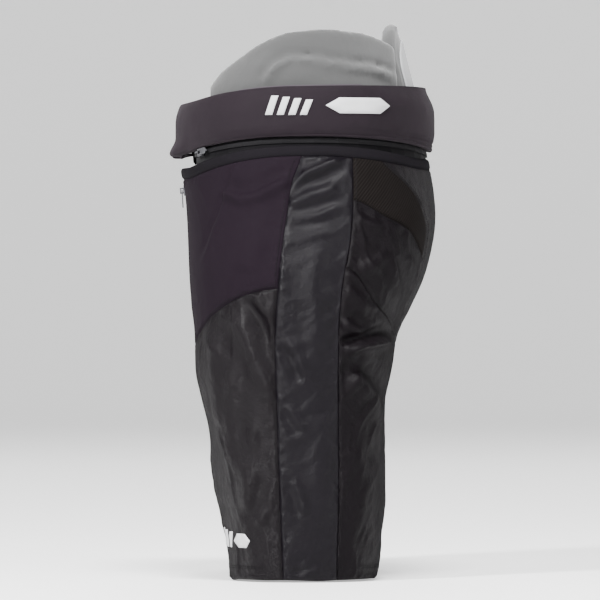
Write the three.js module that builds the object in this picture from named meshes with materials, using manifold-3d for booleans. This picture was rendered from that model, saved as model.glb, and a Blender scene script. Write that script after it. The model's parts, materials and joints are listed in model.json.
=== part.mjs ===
// Padded ice hockey pants: a nylon and knit shell zipped to a wide foam belt, with kidney, spine,
// hip, tailbone and thigh guards inside. Millimetres, +X the wearer's left, -Y the front, +Z up.
// Every layer is set in from one outer surface, so a change of size moves all that fits under it.
import * as THREE from "three";
import { mergeVertices } from "three/addons/utils/BufferGeometryUtils.js";
import Module from "manifold-3d";

const wasm = await Module();
wasm.setup();

// ---------- driving dimensions ----------
const shellHeight = 495; // hem to the top of the waistband, at the side
// How far the waist line lies from its height at the side.
const waistDip = { front: -24, side: 0, rear: -13 };
const hipWidth = 472;
const hemSpread = 462; // outside of one leg to the outside of the other, at the hem
const hemGap = 60; // between the legs at the hem
const crotchGap = 16; // between the legs at the crotch
const crotchHeight = 235;
const sideLine = -11; // the line of the hip hinges, measured from the middle of the belt
const hipRadius = 104; // of the leg round the hip hinge, above the crotch
const legFront = { hem: 74, knee: 88, thigh: 102 }; // forward of the side line
const legRear = { hem: 94, knee: 103, thigh: 104 };
const seatFront = { crotch: 115, waist: 131 };
const seatRear = { crotch: 117, low: 127, middle: 147, hip: 164, waist: 155 };

const beltWidth = 406;
const beltOverhang = 14; // how much wider the belt is than the shell under it
const waistWidth = beltWidth - beltOverhang;
const beltFront = 139; // forward of the side line
const beltRear = 162;
const beltHeight = 57; // at the side
const beltOpening = 90; // the gap between the belt's ends, at the front
const coverWall = 2;
const beltFoamThickness = 13.2;
const webbingThickness = 2;
const webbingWidth = 38;
const liningWall = 1.5;
const kidneyThickness = 14;
const kidneyTop = 629;
const spineWidth = 96;
const spineTop = 640;
const spineLean = 19;
const spineFoamThickness = 13;

const fabric = 2.5; // a sewn panel with its lining
const capWall = 2.5; // the moulded plastic caps
const guardFoam = 13; // the foam behind each cap
const waistbandWidth = 12;
const zipperTapeWidth = 22;
const zipperSlot = 10; // the slot in the fabric that shows the coil
const coilWidth = 5;
const coilHeight = 2;
const tapeWall = 1.2;
const legZipperLength = 150;
const flyLength = 130;
const sliderLength = 12;
const sliderPark = 32; // height of the leg zippers' closed sliders
const pullLength = 20;
const layerGap = 0.9; // between one layer and the next
const guardGap = 1.4; // between the shell and the guards' caps
const seamGap = 0.6; // between two panels that are sewn edge to edge
const moving = 0.5; // between a piece that moves and what it moves in

const buckleHalf = 22; // half the buckle's length along the webbing
const basePlate = 2.4;
const pinRadius = 2;
const pinPlay = 0.3;
const pinX = -8;
const camRadius = 6;
const earWall = 2.5;
const earPlay = 1.5; // between the webbing's edge and each ear
const sliderDeep = 4.6;
const bridgeRise = 4.5;
const pullLift = 1.9; // the pull's axis above the slider's face
const pullWall = 1.4;

const kidneyFrom = 36; // turns round the belt, from the front
const kidneyTo = 146;
const guardStand = 10; // the belt guards' lower edges, above the belt's
const spineSag = 8; // how far the spine guard's sides come forward of its middle
const backTurn = 164; // the seat's rear seams
const bandFrom = 30; // where the waistband and its zipper start

// ---------- materials ----------
function material(color, roughness, metalness = 0) {
  return new THREE.MeshStandardMaterial({ color, roughness, metalness });
}
const knit = material(0x36303a, 0.9);
const nylon = material(0x3b373d, 0.5);
const stripeNylon = material(0x45414a, 0.45);
const meshFabric = material(0x302d2c, 0.95);
const beltKnit = material(0x3c363c, 0.85);
const foam = material(0x8f9192, 0.95);
const greyCover = material(0x969896, 0.8);
const greyCap = material(0xb8b8b8, 0.5);
const blackPlastic = material(0x1c1c1e, 0.4);
const webbing = material(0x18181a, 0.8);
const steel = material(0x9a9ca0, 0.35, 1);

// ---------- profiles ----------
// A smooth curve through [position, value] pairs.
function through(pairs) {
  const slope = (i) => {
    const [x0, y0] = pairs[Math.max(i - 1, 0)];
    const [x1, y1] = pairs[Math.min(i + 1, pairs.length - 1)];
    return (y1 - y0) / (x1 - x0);
  };
  return (x) => {
    let i = 0;
    while (i < pairs.length - 2 && x > pairs[i + 1][0]) i += 1;
    const [x0, y0] = pairs[i];
    const [x1, y1] = pairs[i + 1];
    const span = x1 - x0;
    const t = THREE.MathUtils.clamp((x - x0) / span, 0, 1);
    const rise = (3 - 2 * t) * t * t;
    const leave = t * (1 - t) * (1 - t) * span * slope(i);
    const arrive = t * t * (t - 1) * span * slope(i + 1);
    return y0 + (y1 - y0) * rise + leave + arrive;
  };
}

const mix = THREE.MathUtils.lerp;
const radians = THREE.MathUtils.degToRad;
const bulge = (c, power) => Math.sign(c) * Math.abs(c) ** (2 / power);

const kneeHeight = crotchHeight * 0.43;
const thighHeight = crotchHeight * 0.8;
const seatShare = (share) => mix(crotchHeight, shellHeight, share);
const legInnerSlope = (hemGap - crotchGap) / 2 / thighHeight;
const legPower = 2.5;

// The leg's section. Above the crotch its front and rear follow a circle round the hip hinge, so that
// the leg turns inside the seat.
const legReach = (reach) =>
  through([[0, reach.hem], [kneeHeight, reach.knee], [thighHeight, reach.thigh], [crotchHeight, hipRadius]]);
const legFrontAt = legReach(legFront);
const legRearAt = legReach(legRear);
const legOuterAt = through([
  [0, hemSpread / 2],
  [kneeHeight, hemSpread / 2 + 3],
  [thighHeight, hipWidth / 2 - 2],
  [crotchHeight, hipWidth / 2 - 7],
  [crotchHeight + 100, hipWidth / 2 - 9],
]);
function legSection(z) {
  const above = Math.max(z - crotchHeight, 0);
  const inner = Math.max(hemGap / 2 - legInnerSlope * z, crotchGap / 2);
  const outer = legOuterAt(z);
  const capped = (reach) => (above > 0 ? Math.sqrt(hipRadius ** 2 - above ** 2) : reach(z));
  return {
    middle: (outer + inner) / 2,
    half: (outer - inner) / 2,
    front: capped(legFrontAt),
    rear: capped(legRearAt),
    power: legPower,
  };
}

// The seat's section, from the crotch to the waistband. Its front is straight, for the fly's zipper.
const seatFrontAt = (z) =>
  THREE.MathUtils.mapLinear(z, crotchHeight, shellHeight, seatFront.crotch, seatFront.waist);
const seatRearAt = through([
  [crotchHeight, seatRear.crotch],
  [seatShare(0.22), seatRear.low],
  [seatShare(0.42), seatRear.middle],
  [seatShare(0.65), seatRear.hip],
  [shellHeight, seatRear.waist],
]);
const seatHalfAt = through([
  [crotchHeight, hipWidth / 2],
  [seatShare(0.42), hipWidth / 2],
  [seatShare(0.65), mix(hipWidth, waistWidth, 0.28) / 2],
  [shellHeight, waistWidth / 2],
]);
const seatPowerAt = through([[crotchHeight, 3.3], [seatShare(0.65), 2.7], [shellHeight, 2.4]]);
function seatSection(z) {
  return {
    middle: 0,
    half: seatHalfAt(z),
    front: seatFrontAt(z),
    rear: seatRearAt(z),
    power: seatPowerAt(z),
  };
}

// A point on a section, set in from the outer surface. Turn 0 is the front, 90 the outer side, 180 the rear.
function onSection(section, turn, inset, z) {
  const side = Math.sin(radians(turn));
  const ahead = Math.cos(radians(turn));
  const reach = ahead > 0 ? section.front : section.rear;
  return new THREE.Vector3(
    section.middle + (section.half - inset) * bulge(side, section.power),
    sideLine - (reach - inset) * bulge(ahead, section.power),
    z,
  );
}

// The turn at which a section lies this far behind the side line, or this far from the middle in X.
function turnBehind(section, offset) {
  const reach = offset < 0 ? section.front : section.rear;
  const share = THREE.MathUtils.clamp(offset / reach, -1, 1);
  return 90 + THREE.MathUtils.radToDeg(Math.asin(Math.sign(share) * Math.abs(share) ** (section.power / 2)));
}
function turnAcross(section, x, inset = 0) {
  return THREE.MathUtils.radToDeg(Math.asin((x / (section.half - inset)) ** (section.power / 2)));
}

// ---------- solids ----------
// Reverses a closed geometry whose faces point inwards.
function facingOut(geometry) {
  const p = geometry.getAttribute("position");
  const index = geometry.index.array;
  const [a, b, c] = [new THREE.Vector3(), new THREE.Vector3(), new THREE.Vector3()];
  let volume = 0;
  for (let i = 0; i < index.length; i += 3) {
    a.fromBufferAttribute(p, index[i]);
    b.fromBufferAttribute(p, index[i + 1]);
    c.fromBufferAttribute(p, index[i + 2]);
    volume += a.dot(b.cross(c));
  }
  if (volume < 0) index.reverse();
  geometry.computeVertexNormals();
  return geometry;
}

// A closed solid through a row of closed loops of points: a ring, or capped at both ends.
function loft(loops, ring = false) {
  const count = loops[0].length;
  const positions = loops.flat().flatMap((p) => p.toArray());
  const index = [];
  for (let row = 0; row < loops.length - (ring ? 0 : 1); row += 1) {
    const above = (row + 1) % loops.length;
    for (let i = 0; i < count; i += 1) {
      const next = (i + 1) % count;
      const [a, b] = [row * count + i, row * count + next];
      const [c, d] = [above * count + next, above * count + i];
      index.push(a, b, c, a, c, d);
    }
  }
  const cap = (row, reversed) => {
    const loop = loops[row];
    const normal = new THREE.Vector3();
    loop.forEach((p, i) => {
      const next = loop[(i + 1) % count].clone().sub(loop[0]);
      normal.add(p.clone().sub(loop[0]).cross(next));
    });
    const along = loop[1].clone().sub(loop[0]).normalize();
    const across = normal.clone().normalize().cross(along);
    const flat = loop.map((p) => new THREE.Vector2(p.dot(along), p.dot(across)));
    THREE.ShapeUtils.triangulateShape(flat, []).forEach((face) => {
      const [a, b, c] = face.map((i) => row * count + i);
      index.push(...(reversed ? [a, c, b] : [a, b, c]));
    });
  };
  if (!ring) {
    cap(0, true);
    cap(loops.length - 1, false);
  }
  const geometry = new THREE.BufferGeometry();
  geometry.setAttribute("position", new THREE.Float32BufferAttribute(positions, 3));
  geometry.setIndex(index);
  return facingOut(geometry);
}

// A curved plate: at(u, v, inset) gives its points, u along it and v up it.
function plate(at, columns, rows, outer, inner) {
  const loops = [];
  for (let c = 0; c <= columns; c += 1) {
    const loop = [];
    for (let r = 0; r <= rows; r += 1) loop.push(at(c / columns, r / rows, outer));
    for (let r = rows; r >= 0; r -= 1) loop.push(at(c / columns, r / rows, inner));
    loops.push(loop);
  }
  return loft(loops);
}

// A plate on a section between two seams (turn as a function of height) and two edges (height as a
// function of turn). Panels that meet take their rows from the same height, so that their seams match.
// A seam moves as the height does and an edge as the turn does, so each point is found in a few passes.
function panel(sectionAt, seams, edges, outer, inner, step = 10, rise = 34) {
  const [from, to] = seams.map((seam) => seam(crotchHeight));
  const columns = Math.max(2, Math.ceil((to - from) / step));
  const tall = Math.max(...[from, 90, to].map((turn) => edges[1](turn) - edges[0](turn)));
  const rows = Math.max(2, Math.ceil(tall / rise));
  const at = (u, v, inset) => {
    let turn = mix(from, to, u);
    let z = 0;
    for (let pass = 0; pass < 4; pass += 1) {
      z = mix(edges[0](turn), edges[1](turn), v);
      turn = mix(seams[0](z), seams[1](z), u);
    }
    return onSection(sectionAt(z), turn, inset, z);
  };
  return plate(at, columns, rows, outer, inner);
}

// A band round a section: the profile gives [inset, height] pairs for a turn.
function band(sectionAt, profile, from, to, step = 9.5) {
  const count = Math.ceil((to - from) / step);
  const loops = [];
  for (let i = 0; i <= count; i += 1) {
    const turn = mix(from, to, i / count);
    loops.push(profile(turn).map(([inset, z]) => onSection(sectionAt(z), turn, inset, z)));
  }
  return loft(loops);
}

function solid(geometry) {
  const bare = geometry.clone();
  bare.deleteAttribute("normal");
  bare.deleteAttribute("uv");
  const welded = mergeVertices(bare);
  const mesh = new wasm.Mesh({
    numProp: 3,
    vertProperties: new Float32Array(welded.getAttribute("position").array),
    triVerts: new Uint32Array(welded.index.array),
  });
  return new wasm.Manifold(mesh);
}
function geometryOf(manifold) {
  const mesh = manifold.getMesh();
  const geometry = new THREE.BufferGeometry();
  geometry.setAttribute("position", new THREE.BufferAttribute(mesh.vertProperties, 3));
  geometry.setIndex(new THREE.BufferAttribute(mesh.triVerts, 1));
  geometry.computeVertexNormals();
  return geometry;
}
const join = (...geometries) => geometryOf(geometries.map(solid).reduce((a, b) => a.add(b)));
const without = (geometry, ...tools) =>
  geometryOf(tools.reduce((rest, tool) => rest.subtract(solid(tool)), solid(geometry)));

const pants = new THREE.Group();
function add(name, geometry, look, parent = pants) {
  const mesh = new THREE.Mesh(geometry, look);
  mesh.name = name;
  parent.add(mesh);
  return mesh;
}
const level = (value) => () => value;

// ---------- seams ----------
// The side strip's seams, behind the side line.
const frontSeamOffset = through([[0, -13], [193, -20], [273, -22], [378, -14], [shellHeight, 3]]);
const rearSeamOffset = through([[0, 49], [284, 51], [378, 62], [shellHeight, 67]]);
// Where the seat's panels end and the leg's begin: an arch that is highest at the side.
const hipLine = through([[0, 25], [40, 26], [58, 46], [74, 68], [90, 78], [108, 70], [135, 42], [180, 34]]);
const fold = (turn) => (turn > 180 ? 360 - turn : Math.abs(turn));
const hipEdge = (turn) => crotchHeight + hipLine(fold(turn));
const waistLine = through([[0, waistDip.front], [90, waistDip.side], [180, waistDip.rear]]);
const shellTop = (turn) => shellHeight + waistLine(fold(turn));
const waistEdge = (turn) => shellTop(turn) - waistbandWidth - seamGap;

const seatSeam = (offset, gap) => (z) => turnBehind(seatSection(z), offset(z) + gap);
const legSeam = (offset, gap) => (z) => {
  const height = Math.min(z, crotchHeight);
  return turnBehind(legSection(height), offset(height) + gap);
};
const half = seamGap / 2;

// ---------- the seat's shell ----------
const meshDepth = through([[90, 46], [135, 66], [165, 112]]);
const meshLow = (turn) => shellTop(turn) - meshDepth(turn);
const seatRise = 26; // rows close enough for the seat's curve
const flySlot = flyLength + sliderLength;
function seatShell(side, name) {
  const group = new THREE.Group();
  group.scale.x = side;
  pants.add(group);
  const flyEdge = (z) => turnAcross(seatSection(z), half);
  const whole = panel(
    seatSection,
    [flyEdge, seatSeam(frontSeamOffset, -half)],
    [hipEdge, waistEdge],
    0,
    fabric,
    10,
    seatRise,
  );
  const slot = new THREE.BoxGeometry(zipperSlot, 60, flySlot * 2);
  slot.translate(0, sideLine - seatFront.waist, waistEdge(0));
  const front = without(whole, slot);
  add(`${name}_front_panel`, front, knit, group);
  const strip = panel(
    seatSection,
    [seatSeam(frontSeamOffset, half), seatSeam(rearSeamOffset, -half)],
    [hipEdge, waistEdge],
    0,
    fabric,
    10,
    seatRise,
  );
  add(`${name}_hip_strip`, strip, stripeNylon, group);
  const vent = panel(
    seatSection,
    [seatSeam(rearSeamOffset, half), level(backTurn)],
    [meshLow, waistEdge],
    0,
    fabric,
    10,
    seatRise,
  );
  add(`${name}_mesh_panel`, vent, meshFabric, group);
  const seat = panel(
    seatSection,
    [seatSeam(rearSeamOffset, half), level(backTurn)],
    [hipEdge, (turn) => meshLow(turn) - seamGap],
    0,
    fabric,
    10,
    seatRise,
  );
  add(`${name}_seat_panel`, seat, nylon, group);
}
seatShell(1, "left");
seatShell(-1, "right");

const back = panel(
  seatSection,
  [level(backTurn + 0.4), level(360 - backTurn - 0.4)],
  [hipEdge, waistEdge],
  0,
  fabric,
  10,
  seatRise,
);
add("back_center_panel", back, nylon);

// The crotch gusset: a strap that hangs from the front panels to the back panel, between the legs.
function crotchGusset() {
  const inset = fabric + layerGap;
  const overlap = 16;
  const hang = crotchHeight - 25;
  const atFront = (z) => new THREE.Vector3(0, sideLine - seatFrontAt(z) + inset, z);
  const rearZ = hipEdge(180) + overlap;
  const rearY = sideLine + seatRearAt(rearZ) - inset;
  const drop = new THREE.CubicBezierCurve3(
    atFront(hipEdge(0) + overlap),
    atFront(hang),
    new THREE.Vector3(0, rearY - 24, hang),
    new THREE.Vector3(0, rearY, rearZ),
  );
  const wide = crotchGap / 2 - moving; // the legs turn past it
  const steps = 18;
  const loops = [];
  for (let i = 0; i <= steps; i += 1) {
    const p = drop.getPointAt(i / steps);
    const t = drop.getTangentAt(i / steps);
    const inward = new THREE.Vector3(0, -t.z, t.y).multiplyScalar(fabric);
    const corner = (x, depth) => new THREE.Vector3(x, p.y, p.z).addScaledVector(inward, depth);
    loops.push([corner(-wide, 0), corner(wide, 0), corner(wide, 1), corner(-wide, 1)]);
  }
  return loft(loops);
}
add("crotch_gusset", crotchGusset(), nylon);

// ---------- the belt's edges ----------
const beltSection = () => ({
  middle: 0,
  half: beltWidth / 2,
  front: beltFront,
  rear: beltRear,
  power: 2.4,
});
const beltLow = (turn) => shellTop(turn) + zipperSlot;
const beltCrown = through([[0, -17], [30, -15], [60, -6], [90, 0], [180, 3]]);
const beltTop = (turn) => shellHeight + zipperSlot + beltHeight + beltCrown(fold(turn));
const beltFrom = turnAcross(beltSection(), beltOpening / 2);

// ---------- waistband and the zipper that joins the shell to the belt ----------
const coilCentre = (turn) => (shellTop(turn) + beltLow(turn)) / 2;
const tapeInset = fabric + layerGap;
const waistbandProfile = (turn) => [
  [-0.6, waistEdge(turn) + seamGap],
  [-0.6, shellTop(turn)],
  [fabric, shellTop(turn)],
  [fabric, waistEdge(turn) + seamGap],
];
add("waistband", band(seatSection, waistbandProfile, bandFrom, 360 - bandFrom), nylon);
const waistTapeProfile = (turn) => {
  const coil = coilCentre(turn);
  return [
    [tapeInset, coil - zipperTapeWidth / 2],
    [tapeInset, coil - coilWidth / 2],
    [tapeInset - coilHeight, coil - coilWidth / 2],
    [tapeInset - coilHeight, coil + coilWidth / 2],
    [tapeInset, coil + coilWidth / 2],
    [tapeInset, beltLow(turn) - seamGap],
    [tapeInset + tapeWall, beltLow(turn) - seamGap],
    [tapeInset + tapeWall, coil - zipperTapeWidth / 2],
  ];
};
add("waist_zipper_tape", band(seatSection, waistTapeProfile, bandFrom, 360 - bandFrom), blackPlastic);

// ---------- the belt ----------
const foamInset = coverWall + layerGap;
const webbingInset = foamInset + beltFoamThickness + layerGap;
const liningInset = webbingInset + webbingThickness + layerGap;
const kidneyInset = liningInset + liningWall + layerGap;
const beltRound = 5;

const coverProfile = (turn) => {
  const [low, high] = [beltLow(turn), beltTop(turn)];
  const edge = liningInset - layerGap;
  return [
    [beltRound, low],
    [1.2, low + 2],
    [0, low + beltRound],
    [0, high - beltRound - 5],
    [2, high - 3],
    [beltRound + 3, high],
    [edge, high],
    [edge, high - coverWall],
    [beltRound + 4, high - coverWall],
    [2 + coverWall, high - 5.5],
    [coverWall, high - beltRound - 6],
    [coverWall, low + beltRound + 1],
    [beltRound + 1, low + coverWall],
    [edge, low + coverWall],
    [edge, low],
  ];
};
add("belt_cover", band(beltSection, coverProfile, beltFrom, 360 - beltFrom, 8), beltKnit);

const foamProfile = (turn) => {
  const low = beltLow(turn) + coverWall + layerGap;
  const high = beltTop(turn) - coverWall - layerGap;
  const inner = foamInset + beltFoamThickness;
  return [
    [foamInset + 5, low],
    [foamInset, low + 6],
    [foamInset, high - 12],
    [foamInset + 6, high],
    [inner, high],
    [inner, low],
  ];
};
add("belt_foam", band(beltSection, foamProfile, beltFrom, 360 - beltFrom), foam);

const liningProfile = (turn) => [
  [liningInset, beltLow(turn)],
  [liningInset, beltTop(turn)],
  [liningInset + liningWall, beltTop(turn)],
  [liningInset + liningWall, beltLow(turn)],
];
add("belt_lining", band(beltSection, liningProfile, beltFrom, 360 - beltFrom), beltKnit);

// The webbing runs all round between foam and lining, and its tail crosses the front opening.
const webbingHeight = (turn) => (beltLow(turn) + beltTop(turn)) / 2;
const buckleZ = webbingHeight(0);
const webbingCentre = webbingInset + webbingThickness / 2;
const frontY = sideLine - beltFront + webbingCentre; // the middle of the webbing, at the front
const tailY = frontY - basePlate / 2 - moving - webbingThickness / 2;
const webbingStart = buckleHalf + moving;
function beltWebbing() {
  const line = [];
  const from = turnAcross(beltSection(), webbingStart, webbingCentre);
  const to = 360 - from - 2.5;
  const steps = 40;
  for (let i = 0; i <= steps; i += 1) {
    const turn = mix(from, to, i / steps);
    line.push(onSection(beltSection(), turn, webbingCentre, webbingHeight(turn)));
  }
  [-buckleHalf - 1, 0, buckleHalf + 18].forEach((x) => line.push(new THREE.Vector3(x, tailY, buckleZ)));
  const loops = line.map((p, i) => {
    const before = line[Math.max(i - 1, 0)];
    const after = line[Math.min(i + 1, line.length - 1)];
    const out = new THREE.Vector3(before.y - after.y, after.x - before.x, 0).setLength(webbingThickness / 2);
    const tall = new THREE.Vector3(0, 0, webbingWidth / 2);
    const corner = (o, t) => p.clone().addScaledVector(out, o).addScaledVector(tall, t);
    return [corner(1, -1), corner(1, 1), corner(-1, 1), corner(-1, -1)];
  });
  return loft(loops);
}
add("belt_webbing", beltWebbing(), webbing);

// ---------- the cam buckle ----------
const pinY = tailY - webbingThickness / 2 - moving - camRadius;
const earInner = webbingWidth / 2 + earPlay;
function disc(radius, height, segments = 20) {
  return new THREE.CylinderGeometry(radius, radius, height, segments).rotateX(Math.PI / 2);
}
// An outline in X and Y, extruded along Z and centred on the webbing's height.
function upright(points, height, bore) {
  const shape = new THREE.Shape(points.map(([x, y]) => new THREE.Vector2(x, y)));
  if (bore) {
    const sides = 20;
    const round = Array.from({ length: sides }, (_, i) => (i / sides) * 2 * Math.PI);
    const centre = new THREE.Vector2(bore.x, bore.y);
    const onRim = (a) => new THREE.Vector2(Math.cos(a), Math.sin(a)).multiplyScalar(bore.radius).add(centre);
    shape.holes.push(new THREE.Path(round.map(onRim)));
  }
  const geometry = new THREE.ExtrudeGeometry(shape, { depth: height, bevelEnabled: false });
  return geometry.translate(0, 0, -height / 2);
}

function buckleBase() {
  const tall = 2 * (earInner + earWall);
  const floor = new THREE.BoxGeometry(2 * buckleHalf, basePlate, tall).translate(0, frontY, 0);
  const ear = (side) =>
    upright(
      [
        [pinX - 8, frontY],
        [pinX + 9, frontY],
        [pinX + 6, pinY - 3],
        [pinX + 3, pinY - 5],
        [pinX - 3, pinY - 5],
        [pinX - 6, pinY - 3],
      ],
      earWall,
      { x: pinX, y: pinY, radius: pinRadius + pinPlay },
    ).translate(0, 0, side * (earInner + earWall / 2));
  return join(floor, ear(1), ear(-1)).translate(0, 0, buckleZ);
}
add("buckle_base", buckleBase(), blackPlastic);
add("buckle_pin", disc(pinRadius, 2 * (earInner + earWall) + 2).translate(pinX, pinY, buckleZ), steel);

function buckleLever() {
  const wide = 2 * (earInner - moving);
  const tip = buckleHalf + 10;
  const handle = upright(
    [
      [pinX, pinY - 3.5],
      [tip - 4, pinY - 1.5],
      [tip, pinY + 0.5],
      [tip, pinY + 2.5],
      [tip - 6, pinY + 1.5],
      [pinX, pinY + 3],
    ],
    wide,
  );
  const cam = disc(camRadius, wide).translate(pinX, pinY, 0);
  const bore = disc(pinRadius + pinPlay, wide + 2).translate(pinX, pinY, 0);
  return without(join(handle, cam), bore).translate(0, 0, buckleZ);
}
add("buckle_lever", buckleLever(), blackPlastic);

// ---------- the guards that rise out of the belt ----------
const kidneyDrop = through([[36, 64], [48, 46], [59, 33], [71, 18], [89, 3], [104, 0], [124, 6], [146, 27]]);
function kidneyPad() {
  return panel(
    beltSection,
    [level(kidneyFrom), level(kidneyTo)],
    [(turn) => beltLow(turn) + guardStand, (turn) => kidneyTop - kidneyDrop(turn)],
    kidneyInset,
    kidneyInset + kidneyThickness,
    9,
    38,
  );
}

// The spine guard stands against the belt's lining and leans forward above it.
const spineLow = beltLow(180) + guardStand;
const spineY = sideLine + beltRear - kidneyInset;
function spineAt(width, top) {
  return (u, v, inset) => {
    const z = mix(spineLow, top, v);
    const leaning = THREE.MathUtils.clamp((z - beltTop(180)) / (spineTop - beltTop(180)), 0, 1);
    const crown = THREE.MathUtils.clamp((z - (top - width / 2)) / (width / 2), 0, 0.94);
    const x = (u - 0.5) * width * Math.sqrt(1 - crown ** 2);
    const sag = spineSag * (x / (spineWidth / 2)) ** 2;
    return new THREE.Vector3(x, spineY - sag - leaning * spineLean - inset, z);
  };
}
const spineFoamInset = capWall + layerGap;
add("spine_guard_cap", plate(spineAt(spineWidth - 22, spineTop - 18), 6, 8, 0, capWall), greyCap);
add(
  "spine_guard_foam",
  plate(spineAt(spineWidth, spineTop), 6, 8, spineFoamInset, spineFoamInset + spineFoamThickness),
  greyCover,
);

// ---------- the guards inside the shell ----------
const guardRise = 18;
const hipPadLow = crotchHeight + hipRadius + 6; // clear of the leg as it turns
// A guard between two turns and two edges: a plastic cap, and foam behind it that stands out all round.
function guard(name, sectionAt, [from, to], [low, high], margin, capInset, parent) {
  const foamInset = capInset + capWall + layerGap;
  const cap = panel(
    sectionAt,
    [level(from + margin), level(to - margin)],
    [(turn) => low(turn) + 9, (turn) => high(turn) - 9],
    capInset,
    capInset + capWall,
    10,
    guardRise,
  );
  add(`${name}_cap`, cap, blackPlastic, parent);
  const padding = panel(
    sectionAt,
    [level(from), level(to)],
    [low, high],
    foamInset,
    foamInset + guardFoam,
    10,
    guardRise,
  );
  add(`${name}_foam`, padding, foam, parent);
}
const seatGuardInset = fabric + guardGap;
const padTop = (turn) => waistEdge(turn) - 10;
const tailboneEdges = [level(hipEdge(180) + 34), padTop];
guard("tailbone", seatSection, [160, 200], tailboneEdges, 3, seatGuardInset, pants);

// ---------- zippers ----------
// The slider straddles the coil, and its bridge holds the pull. +Y is out of the fabric.
const sliderHalf = zipperSlot / 2 - 0.6;
function sliderBody() {
  const groove = coilWidth / 2 + moving;
  const roof = coilHeight + moving;
  const shape = new THREE.Shape(
    [
      [-sliderHalf, moving],
      [-groove, moving],
      [-groove, roof],
      [groove, roof],
      [groove, moving],
      [sliderHalf, moving],
      [sliderHalf, sliderDeep],
      [-sliderHalf, sliderDeep],
    ].map(([x, y]) => new THREE.Vector2(x, y)),
  );
  const body = new THREE.ExtrudeGeometry(shape, { depth: sliderLength, bevelEnabled: false });
  body.translate(0, 0, -sliderLength / 2);
  const bridge = new THREE.BoxGeometry(2, bridgeRise + 1, 7);
  bridge.translate(0, sliderDeep + (bridgeRise - 1) / 2, 0);
  const eye = new THREE.BoxGeometry(3, 2.6, 3.4).translate(0, sliderDeep + pullLift, 0);
  return without(join(body, bridge), eye);
}
// The pull: a flat tab whose top bar passes through the bridge's eye.
function pullTab() {
  const tabHalf = 3.6;
  const eyeHalf = 1.9;
  const outline = new THREE.Shape();
  outline.moveTo(-tabHalf, 1);
  outline.lineTo(-tabHalf, tabHalf - pullLength);
  outline.absarc(0, tabHalf - pullLength, tabHalf, Math.PI, 2 * Math.PI, false);
  outline.lineTo(tabHalf, 1);
  const eye = new THREE.Path();
  eye.moveTo(-eyeHalf, -0.8);
  eye.lineTo(eyeHalf, -0.8);
  eye.lineTo(eyeHalf, -6);
  eye.lineTo(-eyeHalf, -6);
  outline.holes.push(eye);
  const tab = new THREE.ExtrudeGeometry(outline, { depth: pullWall, bevelEnabled: false, curveSegments: 6 });
  return tab.translate(0, 0, -pullWall / 2).rotateX(Math.PI / 2);
}

// A frame on a zipper's line: +Z along the line, +Y out of the fabric.
function zipperFrame(origin, along, out, parent) {
  const forward = along.clone().normalize();
  const wide = out.clone().cross(forward).normalize();
  const frame = new THREE.Group();
  frame.position.copy(origin);
  const basis = new THREE.Matrix4().makeBasis(wide, forward.clone().cross(wide), forward);
  frame.quaternion.setFromRotationMatrix(basis);
  parent.add(frame);
  return frame;
}
function addSlider(name, height, frame) {
  add(`${name}_zipper_slider`, sliderBody(), steel, frame).position.set(0, 0, height);
  add(`${name}_zipper_pull`, pullTab(), steel, frame).position.set(0, sliderDeep + pullLift, height);
}
function straightZipper(name, start, end, out, park, parent) {
  const along = end.clone().sub(start);
  const frame = zipperFrame(start, along, out, parent);
  const [t, c] = [zipperTapeWidth / 2, coilWidth / 2];
  const tape = [[-t, 0], [-t, -tapeWall], [t, -tapeWall], [t, 0]];
  const coil = [[c, 0], [c, coilHeight], [-c, coilHeight], [-c, 0]];
  const outline = [...tape, ...coil];
  const shape = new THREE.Shape(outline.map(([x, y]) => new THREE.Vector2(x, y)));
  const strip = new THREE.ExtrudeGeometry(shape, { depth: along.length(), bevelEnabled: false });
  add(`${name}_zipper_tape`, strip, blackPlastic, frame);
  addSlider(name, park, frame);
}

const flyPoint = (z) => new THREE.Vector3(0, sideLine - seatFrontAt(z) + tapeInset, z);
const flyTop = waistEdge(0);
straightZipper(
  "fly",
  flyPoint(flyTop - flySlot + moving),
  flyPoint(flyTop),
  new THREE.Vector3(0, -1, 0),
  flyLength,
  pants,
);

// The waist zipper's slider is parked near the wearer's left end of its tape.
const parkTurn = bandFrom + 8;
const onWaistTape = (turn) => onSection(seatSection(coilCentre(turn)), turn, tapeInset, coilCentre(turn));
const waistAlong = onWaistTape(parkTurn - 1).sub(onWaistTape(parkTurn + 1));
const waistOut = waistAlong.clone().cross(new THREE.Vector3(0, 0, 1)).negate();
addSlider("waist", 0, zipperFrame(onWaistTape(parkTurn), waistAlong, waistOut, pants));

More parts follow.
